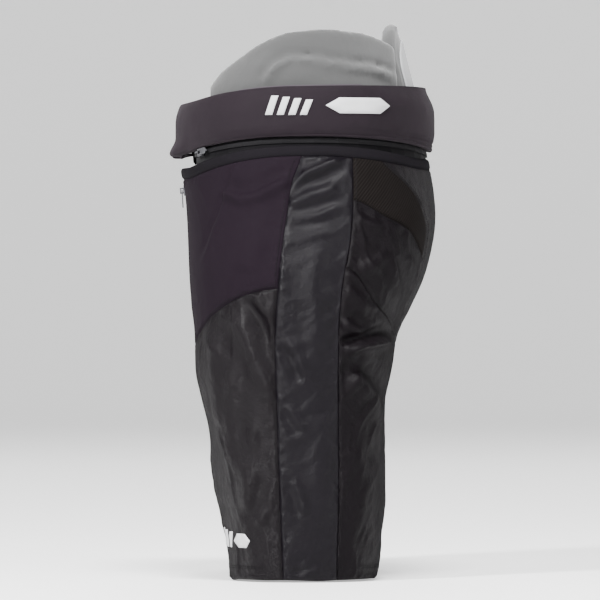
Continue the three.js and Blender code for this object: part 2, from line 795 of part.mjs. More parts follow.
// ---------- the legs ----------
const hipTuck = through([[0, 18], [90, 12], [180, 34]]); // how far the leg reaches up inside the seat
const innerRise = 14;
function legTop(turn) {
  const outer = THREE.MathUtils.clamp(turn, 0, 180);
  const round = THREE.MathUtils.smoothstep(Math.abs(turn - outer), 0, 70);
  return crotchHeight + mix(hipLine(outer) + hipTuck(outer), innerRise, round);
}
const innerFront = -65;
const innerRear = -115;
const liningTurns = 44;
const legGuardInset = fabric + layerGap;
function leg(side, name) {
  const group = new THREE.Group();
  group.scale.x = side;
  pants.add(group);
  const hem = level(0);
  const seam = level(innerFront);
  const front = panel(legSection, [seam, legSeam(frontSeamOffset, -half)], [hem, legTop], 0, fabric);
  add(`${name}_leg_front_panel`, front, nylon, group);
  const stripSeams = [legSeam(frontSeamOffset, half), legSeam(rearSeamOffset, -half)];
  add(`${name}_leg_strip`, panel(legSection, stripSeams, [hem, legTop], 0, fabric), stripeNylon, group);
  const rearSeams = [legSeam(rearSeamOffset, half), level(360 + innerRear)];
  add(`${name}_leg_rear_panel`, panel(legSection, rearSeams, [hem, legTop], 0, fabric), nylon, group);

  const innerSeams = [level(innerRear + 0.4), level(innerFront - 0.4)];
  const inner = panel(legSection, innerSeams, [hem, legTop], 0, fabric);
  const slot = new THREE.BoxGeometry(hemGap, zipperSlot, 2 * legZipperLength);
  slot.translate(hemGap / 2, sideLine, 0);
  add(`${name}_leg_inner_panel`, without(inner, slot), nylon, group);

  const thighEdges = [level(12), level(crotchHeight - 26)];
  guard(`${name}_thigh`, legSection, [-34, 118], thighEdges, 8, legGuardInset, group);
  const liningAt = legGuardInset + capWall + layerGap + guardFoam + layerGap;
  const loops = [];
  for (let i = 0; i < liningTurns; i += 1) {
    const turn = (i / liningTurns) * 360;
    const [low, high] = [5, crotchHeight - 20];
    const corner = (inset, z) => onSection(legSection(z), turn, inset, z);
    const middle = (low + high) / 2;
    const wall = liningAt + liningWall;
    loops.push([
      corner(liningAt, low),
      corner(liningAt, middle),
      corner(liningAt, high),
      corner(wall, high),
      corner(wall, middle),
      corner(wall, low),
    ]);
  }
  add(`${name}_leg_lining`, loft(loops, true), nylon, group);

  const seamPoint = (z) => new THREE.Vector3(hemGap / 2 - legInnerSlope * z + tapeInset, sideLine, z);
  const out = new THREE.Vector3(-1, 0, 0);
  const [low, high] = [3, legZipperLength - moving];
  straightZipper(`${name}_leg`, seamPoint(low), seamPoint(high), out, sliderPark - low, group);
}

[["left", 1], ["right", -1]].forEach(([name, side]) => {
  add(`${name}_kidney_pad`, kidneyPad(), greyCover).scale.x = side;
  const mirrored = new THREE.Group();
  mirrored.scale.x = side;
  pants.add(mirrored);
  guard(`${name}_hip`, seatSection, [58, 124], [level(hipPadLow), padTop], 6, seatGuardInset, mirrored);
  leg(side, name);
});

// The origin is on the floor, under the middle of the whole.
const whole = new THREE.Box3().setFromObject(pants, true);
pants.position.set(-(whole.min.x + whole.max.x) / 2, -(whole.min.y + whole.max.y) / 2, 0);

export default pants;
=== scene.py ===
"""Padded ice hockey pants: the looks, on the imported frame.

Metres, +X the wearer's left, -Y the front, +Z up. Measurements below are in millimetres, and every
mesh is scaled to metres as it is made.
"""

import json
import math

import bpy
import numpy as np
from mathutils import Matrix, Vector


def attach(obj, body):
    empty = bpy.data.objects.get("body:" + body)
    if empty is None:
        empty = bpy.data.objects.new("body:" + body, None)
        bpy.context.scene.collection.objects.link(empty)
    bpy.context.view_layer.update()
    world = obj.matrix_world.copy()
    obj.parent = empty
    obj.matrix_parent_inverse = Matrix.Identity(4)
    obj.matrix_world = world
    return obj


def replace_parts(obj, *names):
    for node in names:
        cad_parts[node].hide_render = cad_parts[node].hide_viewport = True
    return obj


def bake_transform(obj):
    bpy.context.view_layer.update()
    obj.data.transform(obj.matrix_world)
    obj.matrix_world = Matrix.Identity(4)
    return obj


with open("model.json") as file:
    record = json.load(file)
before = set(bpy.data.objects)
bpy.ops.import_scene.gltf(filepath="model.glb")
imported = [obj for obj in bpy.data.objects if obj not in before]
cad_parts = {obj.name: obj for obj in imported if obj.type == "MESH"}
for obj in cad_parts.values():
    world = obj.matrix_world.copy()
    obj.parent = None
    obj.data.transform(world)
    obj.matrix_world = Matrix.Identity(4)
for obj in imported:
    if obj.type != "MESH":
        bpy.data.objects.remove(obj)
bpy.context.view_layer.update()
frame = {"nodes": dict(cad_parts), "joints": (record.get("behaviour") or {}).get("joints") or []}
MM = 0.001
JOINTS = {joint["name"]: joint for joint in frame["joints"]}
HINGE = [value / MM for value in JOINTS["left_leg_flex"]["pos_m"]]
SIDE = HINGE[1]  # the line of the hip hinges, front to back
CROTCH = HINGE[2]
NODES = frame["nodes"]

# ---------- camera, floor and light ----------
PHOTO_WIDTH = 690.0  # what the picture takes in, side to side
LENS = 400.0
SENSOR = 36.0
EYE = Vector((0.10, -0.0070, 0.3190))  # the middle of the picture


def make_camera():
    data = bpy.data.cameras.new("camera")
    data.lens, data.sensor_width = LENS, SENSOR
    data.clip_end = 50
    camera = bpy.data.objects.new("camera", data)
    bpy.context.scene.collection.objects.link(camera)
    distance = PHOTO_WIDTH * MM * LENS / SENSOR
    camera.location = EYE + Vector((distance, 0, 0))
    camera.rotation_euler = (math.radians(90), 0, math.radians(90))
    bpy.context.scene.camera = camera


def make_light(name, place, size, power):
    data = bpy.data.lights.new(name, "AREA")
    data.shape, data.size, data.energy = "DISK", size, power
    light = bpy.data.objects.new(name, data)
    light.location = place
    light.rotation_euler = (EYE - Vector(place)).to_track_quat("-Z", "Y").to_euler()
    bpy.context.scene.collection.objects.link(light)


# ---------- curves and noise ----------
def through(pairs):
    """A smooth curve through (position, value) pairs, for arrays."""
    x, y = np.array(pairs, float).T
    last = len(x) - 1
    before, after = np.maximum(np.arange(len(x)) - 1, 0), np.minimum(np.arange(len(x)) + 1, last)
    slope = (y[after] - y[before]) / (x[after] - x[before])

    def at(value):
        value = np.asarray(value, float)
        i = np.clip(np.searchsorted(x, value, side="right") - 1, 0, last - 1)
        span = x[i + 1] - x[i]
        t = np.clip((value - x[i]) / span, 0, 1)
        rise = t * t * (3 - 2 * t)
        bend = slope[i] * t * (1 - t) ** 2 + slope[i + 1] * t * t * (t - 1)
        return y[i] + (y[i + 1] - y[i]) * rise + span * bend

    return at


def ease(value, low, high):
    t = np.clip((value - low) / (high - low), 0, 1)
    return t * t * (3 - 2 * t)


def level(value):
    """A seam, edge or inset that stays at one value."""
    return lambda t: np.full_like(np.asarray(t, float), value)


NOISE = np.random.default_rng(7).uniform(-1, 1, (64, 64, 64))


def noise(x, y, z=0.0):
    """Smooth value noise with cells of one unit, from -1 to 1."""
    x, y, z = np.broadcast_arrays(np.asarray(x, float), y, z)
    cells = [np.floor(v).astype(int) for v in (x, y, z)]
    parts = [ease(v - c, 0, 1) for v, c in zip((x, y, z), cells)]
    total = np.zeros(x.shape)
    for corner in range(8):
        picks = [(corner >> axis) & 1 for axis in range(3)]
        weight = np.ones(x.shape)
        for part, pick in zip(parts, picks):
            weight = weight * (part if pick else 1 - part)
        spot = [(cell + pick) % 64 for cell, pick in zip(cells, picks)]
        total += weight * NOISE[spot[0], spot[1], spot[2]]
    return total


def ridged(x, y, z):
    """Noise as narrow crests, from 0 to 1."""
    return (1 - np.abs(noise(x, y, z))) ** 4


def signed_power(value, power):
    """A power that keeps its base's sign."""
    return np.sign(value) * np.abs(value) ** power


def bump(distance, width):
    """A smooth crest, from 1 on its line down to 0."""
    return np.exp(-((distance / width) ** 2))


def smooth_normals(across, up):
    normal = np.cross(across, up)
    return normal / np.maximum(np.linalg.norm(normal, axis=-1, keepdims=True), 1e-9)


def run_along(points):
    """How far each point of a grid or line lies from its first row."""
    return np.linalg.norm(np.diff(points, axis=0, prepend=points[:1]), axis=-1).cumsum(0)


# ---------- the shell's outer surface ----------
LEG_POWER = 2.5
HEM_GAP, CROTCH_GAP = 60.0, 16.0
FRONT = through([
    (0, 74), (31, 76), (66, 81), (100, 89), (135, 94), (169, 98), (204, 106), (238, 113), (273, 116),
    (342, 121), (411, 124), (445, 127), (465, 131), (485, 135),
])
REAR = through([
    (0, 94), (31, 98), (66, 101), (135, 104), (204, 104), (238, 110), (273, 118), (307, 132),
    (342, 148), (376, 158), (411, 163), (445, 161), (485, 155),
])
OUTER = through([(0, 231), (100, 234), (235, 236), (344, 236), (404, 224.8), (495, 196)])
SEAT_POWER = through([(CROTCH, 3.2), (404, 2.7), (495, 2.4)])
MORPH = (226.0, 312.0)  # where the leg's ring opens out into half of the seat
WAIST_DROP = through([(0, -24), (90, 0), (180, -13)])
SHELL_TOP = 495.0
BAND_WIDTH = 12.0


def inner_at(z):
    slope = (HEM_GAP - CROTCH_GAP) / 2 / (0.8 * CROTCH)
    low = np.maximum(HEM_GAP / 2 - slope * z, CROTCH_GAP / 2)
    return low * (1 - ease(z, CROTCH - 12, CROTCH + 4))


def shell(turn, z):
    """The left half's outer surface. Turn -90 is the inseam, 0 the front, 90 the side, 180 the rear."""
    turn, z = np.broadcast_arrays(np.asarray(turn, float), np.asarray(z, float))
    ahead = turn <= 90
    side, along = np.sin(np.radians(turn)), np.abs(np.cos(np.radians(turn)))
    across = 0.5 * (1 + signed_power(side, 2 / LEG_POWER))
    reach = np.where(ahead, FRONT(z), REAR(z))
    inner, outer = inner_at(z), OUTER(z)
    power = SEAT_POWER(z)
    leg_y = reach * along ** (2 / LEG_POWER)
    seat_y = reach * np.clip(1 - across**power, 0, 1) ** (1 / power)
    open_out = ease(z, *MORPH)
    x = inner + (outer - inner) * across
    y = leg_y + (seat_y - leg_y) * open_out
    return np.stack([x, SIDE + np.where(ahead, -y, y), z], -1)


def turned(turn, z):
    """The surface's normals."""
    step = 0.6
    across = shell(turn + step, z) - shell(turn - step, z)
    return smooth_normals(across, shell(turn, z + step) - shell(turn, z - step))


HEIGHTS = np.linspace(-5, 500, 203)
OUTER_TURNS = np.linspace(0, 180, 361)


def outer_seam(offsets):
    """A seam on the outer side, as turns for a height, from how far behind the side line it lies."""
    behind = shell(OUTER_TURNS[None, :], HEIGHTS[:, None])[..., 1] - SIDE
    wanted = through(offsets)(HEIGHTS)
    found = [np.interp(want, row, OUTER_TURNS) for want, row in zip(wanted, behind)]
    return lambda z: np.interp(z, HEIGHTS, found)


def turn_across(x, z, rear):
    """The turn on the front or rear at which the shell lies x from the middle."""
    inner = inner_at(z)
    across = np.clip((x - inner) / (OUTER(z) - inner), 0, 1)
    side = signed_power(2 * across - 1, LEG_POWER / 2)
    turn = np.degrees(np.arcsin(np.clip(side, -1, 1)))
    return 180 - turn if rear else turn


def turn_of(y, z):
    """The turn of a point on the outer side."""
    return float(outer_seam([(0, y - SIDE), (500, y - SIDE)])(z))


def edge(points, before=(), after=()):
    """An edge across the shell, as a height for a turn, through (y, height) points on the outer side."""
    return through([*before, *[(turn_of(y, z), z) for y, z in points], *after])


FRONT_SEAM = outer_seam([(0, -13), (102, -17), (193, -20), (273, -22), (343, -18), (378, -14), (413, -9),
                         (452, -3), (474, 5), (495, 13)])
REAR_SEAM = outer_seam([(16, 49), (100, 51), (284, 51), (342, 56), (378, 63), (420, 67), (490, 67)])
BACK_HIGH = outer_seam([(388, 157), (439, 139), (474, 104), (495, 86)])
BACK_LOW = float(BACK_HIGH(388))


def back_seam(z):
    return np.where(np.asarray(z) < 388, BACK_LOW, BACK_HIGH(np.maximum(z, 388)))


ARCH = edge([(-125, 277), (-108, 301), (-81, 320), (-58, 328), (-32, 332)],
            [(-90, 258), (-30, 258)], [(180, 340)])
SEAT_LOW = edge([(46, 355), (76, 320), (97, 294), (107, 276)], [(0, 400)], [(200, 262), (270, 258)])
MESH_LOW = edge([(54, 433), (92, 414), (119, 398), (139, 368)], [(0, 450)], [(200, 352)])


def shell_top(turn):
    return SHELL_TOP + WAIST_DROP(np.clip(turn, 0, 180))


def waist(turn):
    return shell_top(turn) - BAND_WIDTH


# ---------- relief: folds and wrinkles ----------
def along_line(y, z, line):
    """How far points lie to the left of a line of points, and at what share of its length."""
    line = np.array(line, float)
    lengths = np.linalg.norm(np.diff(line, axis=0), axis=1)
    best = np.full(y.shape, 1e9)
    signed, share = np.zeros(y.shape), np.zeros(y.shape)
    for i, (start, end) in enumerate(zip(line[:-1], line[1:])):
        d = end - start
        t = np.clip(((y - start[0]) * d[0] + (z - start[1]) * d[1]) / (d @ d), 0, 1)
        off_y, off_z = y - start[0] - t * d[0], z - start[1] - t * d[1]
        far = np.hypot(off_y, off_z)
        nearer = far < best
        best = np.where(nearer, far, best)
        hand = np.sign(d[0] * off_z - d[1] * off_y)
        signed = np.where(nearer, far * hand, signed)
        share = np.where(nearer, (lengths[:i].sum() + t * lengths[i]) / lengths.sum(), share)
    return signed, share


def fold(y, z, line, height, width):
    """A soft ridge along a line, with a hollow on its left."""
    off, share = along_line(y, z, line)
    ends = ease(share, 0.0, 0.22) * (1 - ease(share, 0.78, 1.0))
    return height * ends * (bump(off, width) - HOLLOW * bump(off - 1.7 * width, width))


HOLLOW = 0.7  # how deep a fold's hollow is beside its ridge
# Folds by cloth: (line of (y, z) points on the outer side, height, width)
FOLDS = {
    "front": [
        ([(-100, 446), (-72, 434), (-50, 438), (-33, 446), (-6, 458)], 2.2, 7),
        ([(-80, 486), (-90, 446), (-104, 408), (-124, 354)], -0.9, 3),
        ([(-60, 415), (-58, 380), (-66, 345)], 1.0, 14),
        ([(-30, 440), (-28, 400), (-38, 356)], -0.8, 9),
    ],
    "leg_front": [
        ([(-70, 322), (-58, 303), (-34, 270)], -2.6, 6),
        ([(-82, 308), (-62, 270), (-40, 224), (-32, 196)], 2.4, 10),
        ([(-104, 300), (-106, 240), (-98, 160)], 1.6, 9),
        ([(-86, 262), (-88, 190), (-80, 110)], 1.8, 10),
        ([(-58, 190), (-66, 130), (-58, 70)], 1.4, 11),
        ([(-44, 120), (-52, 90), (-66, 66)], -1.6, 7),
        ([(-34, 310), (-30, 280), (-34, 250)], 1.2, 6),
    ],
    "stripe": [
        ([(-28, 274), (-16, 252), (-5, 224)], -2.0, 5),
        ([(-28, 196), (-14, 178), (-4, 165)], -1.6, 5),
        ([(-22, 112), (-12, 96), (-4, 74)], -1.4, 5),
        ([(50, 484), (26, 471), (0, 460), (-30, 444)], 2.4, 6),
        ([(44, 448), (14, 438), (-24, 428)], 1.6, 7),
        ([(46, 430), (20, 416), (-20, 412)], 1.0, 6),
        ([(20, 400), (12, 350), (16, 290), (8, 230)], 1.2, 14),
        ([(28, 200), (18, 140), (26, 60)], 1.0, 14),
    ],
    "leg_rear": [
        ([(42, 258), (64, 266), (88, 272), (106, 270)], 5.0, 6),
        ([(44, 300), (58, 282), (70, 276)], 2.4, 8),
        ([(44, 214), (60, 226), (80, 210), (92, 172)], 3.0, 10),
        ([(50, 160), (64, 110), (60, 50)], 1.6, 14),
        ([(84, 150), (80, 100), (84, 40)], 1.6, 11),
        ([(44, 336), (60, 322), (76, 304)], 1.4, 7),
    ],
    "seat": [
        ([(100, 372), (104, 340), (104, 310)], 1.6, 6),
        ([(118, 374), (124, 352), (122, 328)], 1.6, 6),
        ([(134, 376), (138, 358), (134, 340)], 1.2, 5),
        ([(60, 352), (82, 362), (100, 374)], 1.6, 8),
        ([(58, 412), (76, 404), (92, 400)], 1.4, 7),
    ],
    "mesh": [([(74, 470), (100, 452), (124, 428)], -0.8, 10)],
}
FOLD_GAIN = 2.4
# Wrinkles of each cloth: (how high, cell across, cell along, lean of the cells)
WRINKLES = {
    "front": (0.7, 26, 60, 0.5),
    "leg_front": (3.0, 20, 110, 0.1),
    "stripe": (2.2, 20, 34, -0.8),
    "leg_rear": (3.2, 20, 70, -0.35),
    "seat": (2.4, 14, 55, 0.2),
    "mesh": (0.4, 24, 40, 0.4),
    "back": (0.8, 18, 60, 0.1),
    "inner": (1.2, 18, 50, 0.2),
    "band": (0.25, 30, 12, 0.0),
}
FOLD_SHIFT = 2.3  # folds, creases and marks measure y from this far in front of the frame's middle


def relief(turn, z, kind, side):
    """How far the cloth stands off the plain surface."""
    base = shell(turn, z)
    facing = turned(turn, z)[..., 0]
    y = base[..., 1] + FOLD_SHIFT
    outward = ease(facing, 0.1, 0.55)
    seed = 3.0 if side > 0 else 19.0
    wobble = 6 * noise(y / 30, z / 30, seed + 5)
    total = np.zeros(np.shape(z))
    for line, height, width in FOLDS.get(kind, ()):
        total += FOLD_GAIN * outward * fold(y + wobble * 0.4, z + wobble * 0.5, line, height, width)
    height, across, along, lean = WRINKLES[kind]
    arc = np.asarray(turn) * 1.75 + lean * z + 10 * noise(turn / 25, z / 45, seed)
    crest = ridged(arc / across, z / along, seed + 2) - 0.35
    fade = 0.35 + 0.65 * ease(noise(turn / 35, z / 60, seed + 9), -0.4, 0.5)
    fine = 0.22 * height * noise(arc / (0.3 * across), z / (0.35 * along), seed + 4)
    return total + height * fade * crest + fine


PUCKER_GAIN, PUCKER_MOST = 1.7, 1.2


def pucker(turn, z, far, kind):
    """Small gathers along a seam."""
    if kind in ("band", "mesh"):
        return 0.0
    height, *_ = WRINKLES[kind]
    ripple = noise((turn * 1.7 + z) / 4.5, (turn * 1.7 - z) / 7.0, 31.0)
    return PUCKER_GAIN * min(height, PUCKER_MOST) * ripple * np.exp(-far / 8) * ease(far, 0.5, 3)


# ---------- meshes ----------
def make_mesh(name, points, faces, look, uvs=None):
    mesh = bpy.data.meshes.new(name)
    mesh.from_pydata((np.asarray(points) * MM).tolist(), [], faces)
    if uvs is not None:
        layer = mesh.uv_layers.new(name="cloth")
        loops = np.zeros(len(mesh.loops), int)
        mesh.loops.foreach_get("vertex_index", loops)
        layer.data.foreach_set("uv", np.asarray(uvs)[loops].astype(np.float32).ravel())
    mesh.polygons.foreach_set("use_smooth", [True] * len(mesh.polygons))
    mesh.materials.append(look)
    mesh.update()
    piece = bpy.data.objects.new(name, mesh)
    bpy.context.scene.collection.objects.link(piece)
    return piece


def sheet_faces(rows, columns, start=0, flip=False, closed=False):
    """Four-sided faces over a grid of points, whose last column may join its first."""
    faces = []
    for i in range(rows - 1):
        for j in range(columns - (0 if closed else 1)):
            a, d = start + i * columns + j, start + i * columns + (j + 1) % columns
            b, c = a + columns, d + columns
            faces.append((a, d, c, b) if flip else (a, b, c, d))
    return faces


def bar_faces(rows, columns):
    """Faces round a bar and over its two ends."""
    start, end = tuple(range(columns)), tuple(range((rows - 1) * columns, rows * columns))
    return sheet_faces(rows, columns, closed=True) + [start[::-1], end]


def closed_shell(name, outer, inner, uv, look, side=1):
    """A closed piece from the grids of its two faces."""
    rows, columns = outer.shape[:2]
    count = rows * columns
    faces = sheet_faces(rows, columns) + sheet_faces(rows, columns, count, True)
    rim = [i * columns for i in range(rows)] + [(rows - 1) * columns + j for j in range(1, columns)]
    rim += [i * columns + columns - 1 for i in range(rows - 2, -1, -1)] + list(range(columns - 2, 0, -1))
    for a, b in zip(rim, rim[1:] + rim[:1]):
        faces.append((b, a, a + count, b + count))
    points = np.concatenate([outer.reshape(-1, 3), inner.reshape(-1, 3)])
    if side < 0:
        points = points * (-1, 1, 1)
        faces = [face[::-1] for face in faces]
    return make_mesh(name, points, faces, look, np.concatenate([uv.reshape(-1, 2)] * 2))


EDGE_STEPS = (0.0, 0.8, 1.8, 3.2)


def spaced(length, step):
    """Shares of a length, closer together by its ends."""
    ends = np.array([s for s in EDGE_STEPS if s < length / 3])
    count = max(2, math.ceil((length - 2 * ends[-1]) / step))
    middle = np.linspace(ends[-1], length - ends[-1], count + 1)
    return np.concatenate([ends[:-1], middle, length - ends[:-1][::-1]]) / length


def grid(seams, edges, step):
    """Turns and heights over a panel, and how far each point is from the panel's border."""
    def solve(u, v):
        u, v = np.meshgrid(u, v, indexing="ij")
        turn = seams[0](300.0) * (1 - u) + seams[1](300.0) * u
        for _ in range(9):
            z = edges[0](turn) * (1 - v) + edges[1](turn) * v
            turn = seams[0](z) * (1 - u) + seams[1](z) * u
        return turn, z

    rough = shell(*solve(np.linspace(0, 1, 14), np.linspace(0, 1, 14)))
    width = np.linalg.norm(np.diff(rough, axis=0), axis=-1).sum(0)
    tall = np.linalg.norm(np.diff(rough, axis=1), axis=-1).sum(1)
    u, v = spaced(width.max(), step), spaced(tall.max(), step)
    turn, z = solve(u, v)
    wide = np.interp(v, np.linspace(0, 1, 14), width)[None, :]
    high = np.interp(u, np.linspace(0, 1, 14), tall)[:, None]
    across, up = u[:, None], v[None, :]
    far = np.minimum(np.minimum(across, 1 - across) * wide, np.minimum(up, 1 - up) * high)
    uv = np.stack([run_along(shell(turn, z)) * MM, z * MM], -1)
    return turn, z, far, uv


WALL = 2.2
DEEPEST = 2.2  # how far a fold may sink before it meets the guards inside
MORE_ROOM = 5.0  # and how much further between the hip and thigh guards
MIDDLE_GAP = 0.12  # from the middle to the edges of panels that meet there
SEAM_DIP = 1.5
BOTH = (("left", 1), ("right", -1))


def bend(piece, name, side):
    """Bakes the piece's placement into its mesh."""
    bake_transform(piece)


def panels(label, kind, seams, edges, look, replaced, step=3.0, lift=0.0):
    """A sewn panel of the shell, on both sides. It stands for the CAD nodes named in replaced."""
    turn, z, far, uv = grid(seams, edges, step)
    normal = turned(turn, z)
    room = DEEPEST + MORE_ROOM * ease(z, 212, 226) * (1 - ease(z, 328, 342))
    for name, side in BOTH:
        stand = relief(turn, z, kind, side) * ease(far, 0, 7) + pucker(turn, z, far, kind)
        stand = np.where(stand < 0, room * np.tanh(stand / room), stand)
        stand += 0.5 * (1 - np.exp(-far / 10)) - SEAM_DIP * bump(far, 1.7) + lift
        outer = shell(turn, z) + normal * stand[..., None]
        inner = shell(turn, z) + normal * (np.minimum(stand, 0.4) - WALL)[..., None]
        for face in (outer, inner):
            face[..., 0] = np.maximum(face[..., 0], MIDDLE_GAP)
        piece = closed_shell(f"{name}_{label}", outer, inner, uv, look, side)
        bend(piece, name, side)
        nodes = [node.format(name) for node in replaced if "{}" in node or side > 0]
        if nodes:
            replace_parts(piece, *nodes)


# ---------- stitching ----------
STITCH_PITCH, STITCH_LENGTH, STITCH_RADIUS = 3.4, 2.3, 0.42
STITCH_FACES = ((1, 4, 3), (1, 3, 2), (2, 3, 5), (4, 7, 3), (3, 7, 8), (3, 8, 5), (0, 4, 1), (0, 2, 5),
                (6, 7, 4), (6, 5, 8))


def stitch_row(path, normals):
    """Threads along a path of points, as short bars half sunk in the cloth."""
    run = run_along(path)

    def at(s, table):
        return np.stack([np.interp(s, run, table[:, k]) for k in range(3)], -1)

    points, faces = [], []
    for s in np.arange(STITCH_PITCH / 2, run[-1] - STITCH_LENGTH, STITCH_PITCH):
        a, b = at(s, path), at(s + STITCH_LENGTH, path)
        out = at(s + STITCH_LENGTH / 2, normals)
        out = out / np.linalg.norm(out)
        along = (b - a) / np.linalg.norm(b - a)
        wide = np.cross(out, along) * STITCH_RADIUS
        high = out * STITCH_RADIUS
        base = len(points)
        middle = (a + b) / 2
        points += [a - high, a + wide * 0.2, a - wide * 0.2, middle + high, middle + wide, middle - wide,
                   b - high, b + wide * 0.2, b - wide * 0.2]
        faces += [tuple(base + corner for corner in face) for face in STITCH_FACES]
    return points, faces


def stitched(label, rows, look):
    """All the stitch rows of one seam, on both sides. A row is (turns, heights, cloth)."""
    for name, side in BOTH:
        points, faces = [], []
        for turn, z, kind in rows:
            normal = turned(turn, z)
            stand = relief(turn, z, kind, side) * 0.25 + 0.25
            row, found = stitch_row(shell(turn, z) + normal * stand[:, None], normal)
            faces += [tuple(len(points) + i for i in face) for face in found]
            points += row
        points = np.array(points)
        if side < 0:
            points = points * (-1, 1, 1)
        bend(make_mesh(f"{name}_{label}", points, faces, look), name, side)


# ---------- soft parts on the belt and inside the shell ----------
BELT = {"half": 203.0, "front": 139.0, "rear": 162.0, "power": 2.4}
BELT_GAP, BELT_HEIGHT = 90.0, 57.0
ZIP_GAP = 10.0
BELT_CROWN = through([(0, -17), (30, -15), (60, -6), (90, 0), (180, 3)])


def left_turn(turn):
    """The turn on the left half that mirrors one on the right."""
    return np.where(turn > 180, 360 - turn, turn)


def belt_point(turn, inset, z):
    """A point this far inside the belt's outer line."""
    turn = np.asarray(turn, float)
    side, ahead = np.sin(np.radians(turn)), np.cos(np.radians(turn))
    reach = np.where(ahead > 0, BELT["front"], BELT["rear"])
    power = 2 / BELT["power"]
    x = (BELT["half"] - inset) * signed_power(side, power)
    return np.stack(np.broadcast_arrays(x, SIDE - (reach - inset) * signed_power(ahead, power), z), -1)


def belt_low(turn):
    return shell_top(left_turn(turn)) + ZIP_GAP


def belt_top(turn):
    return SHELL_TOP + ZIP_GAP + BELT_HEIGHT + BELT_CROWN(left_turn(turn))


BELT_FROM = math.degrees(math.asin((BELT_GAP / 2 / BELT["half"]) ** (BELT["power"] / 2)))
BELT_THICK = 19.0
BELT_END = 6.0  # how far from its ends the belt starts to narrow
BELT_SIDE = np.linspace(20, 160, 281)  # turns across the belt's left side


def ring_piece(name, section, turns, look, steps):
    """A bar round the belt's line. section(turns, around) gives insets and heights for angles around it."""
    around = np.linspace(0, 2 * math.pi, steps, endpoint=False)
    turn, angle = np.meshgrid(turns, around, indexing="ij")
    inset, z = section(turn, angle)
    points = belt_point(turn, inset, z)
    centre = points.mean(1, keepdims=True)
    from_start = run_along(centre[:, 0])
    end = np.minimum(from_start, from_start[-1] - from_start)
    shrink = np.sqrt(1 - (1 - np.clip(end / BELT_END, 0, 1)) ** 2)
    points = centre + (points - centre) * np.maximum(shrink, 0.05)[:, None, None]
    uv = np.stack([run_along(points) * MM, z * MM], -1).reshape(-1, 2)
    piece = make_mesh(name, points.reshape(-1, 3), bar_faces(*points.shape[:2]), look, uv)
    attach(piece, "waist")
    return piece


def belt_dents(turn, z):
    return 0.9 * noise(turn / 14, z / 26, 3.0) + 0.35 * noise(turn / 4, z / 9, 8.0)


def belt_cover_section(turn, angle):
    """The padded belt: rounded edges, its top rolled in towards the body, most of all at the back."""
    low, high = belt_low(turn), belt_top(turn)
    c, s = np.cos(angle), np.sin(angle)
    rear = ease(left_turn(turn), 95, 160)
    outward = signed_power(c, 0.45 + 0.35 * rear * (s > 0))  # 1 at the outer face
    share = 0.5 + 0.5 * signed_power(s, 0.5 + 0.1 * rear * (s > 0))
    z = low + (high - low) * share
    front_end = 1 - ease(left_turn(turn), BELT_FROM + 2, BELT_FROM + 22)
    flare = 10.0 * (1 - ease(share, 0.0, 0.35)) * front_end
    roll = (2.5 + 9.0 * rear) * ease(share, 0.5, 1.15) ** 1.3
    groove = 1.6 * rear * bump(z - low - 7.5, 1.6)
    crown = 1.4 * np.sin(np.pi * np.clip(share, 0, 1))
    outer_side = np.clip(outward, 0, 1)
    swell = roll + groove - crown + belt_dents(turn, z)
    inset = BELT_THICK / 2 * (1 - outward) + outer_side * swell
    return np.clip(inset, -1.0, BELT_THICK) - flare, z


def tube_section(inset, height, radius):
    """A round bar, whose inset, height and radius are given for a turn."""
    def section(turn, angle):
        wide = radius(turn)
        return inset(turn) - wide * np.cos(angle), height(turn) + wide * np.sin(angle)

    return section


PUFF_FRAMES, PUFF_VOXEL, PUFF_PRESSURE = 20, 0.004, 4.0


def coordinates(mesh):
    flat = np.zeros(len(mesh.vertices) * 3)
    mesh.vertices.foreach_get("co", flat)
    return flat.reshape(-1, 3)


def inflate(piece, most):
    """Puff a closed piece up by cloth simulation, no point further than this many millimetres."""
    view = bpy.context.view_layer
    remesh = piece.modifiers.new("remesh", "REMESH")
    remesh.mode, remesh.voxel_size = "VOXEL", PUFF_VOXEL
    view.update()
    even = bpy.data.meshes.new_from_object(piece.evaluated_get(bpy.context.evaluated_depsgraph_get()))
    piece.modifiers.clear()
    piece.data = even
    cloth_modifier = piece.modifiers.new("cloth", "CLOTH")
    settings = cloth_modifier.settings
    settings.use_pressure, settings.uniform_pressure_force = True, PUFF_PRESSURE
    settings.effector_weights.gravity = 0
    settings.bending_stiffness = 2.0
    cloth_modifier.point_cache.frame_start, cloth_modifier.point_cache.frame_end = 1, PUFF_FRAMES
    for number in range(1, PUFF_FRAMES + 1):
        bpy.context.scene.frame_set(number)
    puffed = piece.evaluated_get(bpy.context.evaluated_depsgraph_get()).to_mesh()
    before, after = coordinates(even), coordinates(puffed)
    piece.modifiers.clear()
    bpy.context.scene.frame_set(1)
    moved = (after - before) / MM
    far = np.maximum(np.linalg.norm(moved, axis=1, keepdims=True), 1e-9)
    settled = before + moved / far * most * np.tanh(far / most) * MM
    even.vertices.foreach_set("co", settled.ravel())
    even.polygons.foreach_set("use_smooth", [True] * len(even.polygons))
    even.update()


def cushion(name, points, normals, thick, rounding, far, look, stand, puff=0.0, rides=True):
    """A padded piece between two faces that meet along a rounded edge."""
    swell = np.sqrt(1 - (1 - np.clip(far / rounding, 0, 1)) ** 2)
    outer = points + normals * (thick / 2 * swell + stand)[..., None]
    inner = points - normals * (thick / 2 * swell)[..., None]
    uv = np.stack([run_along(points), points[..., 2]], -1) * MM
    piece = closed_shell(name, outer, inner, uv, look)
    if puff:
        inflate(piece, puff)
    if rides:
        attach(piece, "waist")
    return piece


def grid_normals(points):
    return smooth_normals(np.gradient(points, axis=0), np.gradient(points, axis=1))


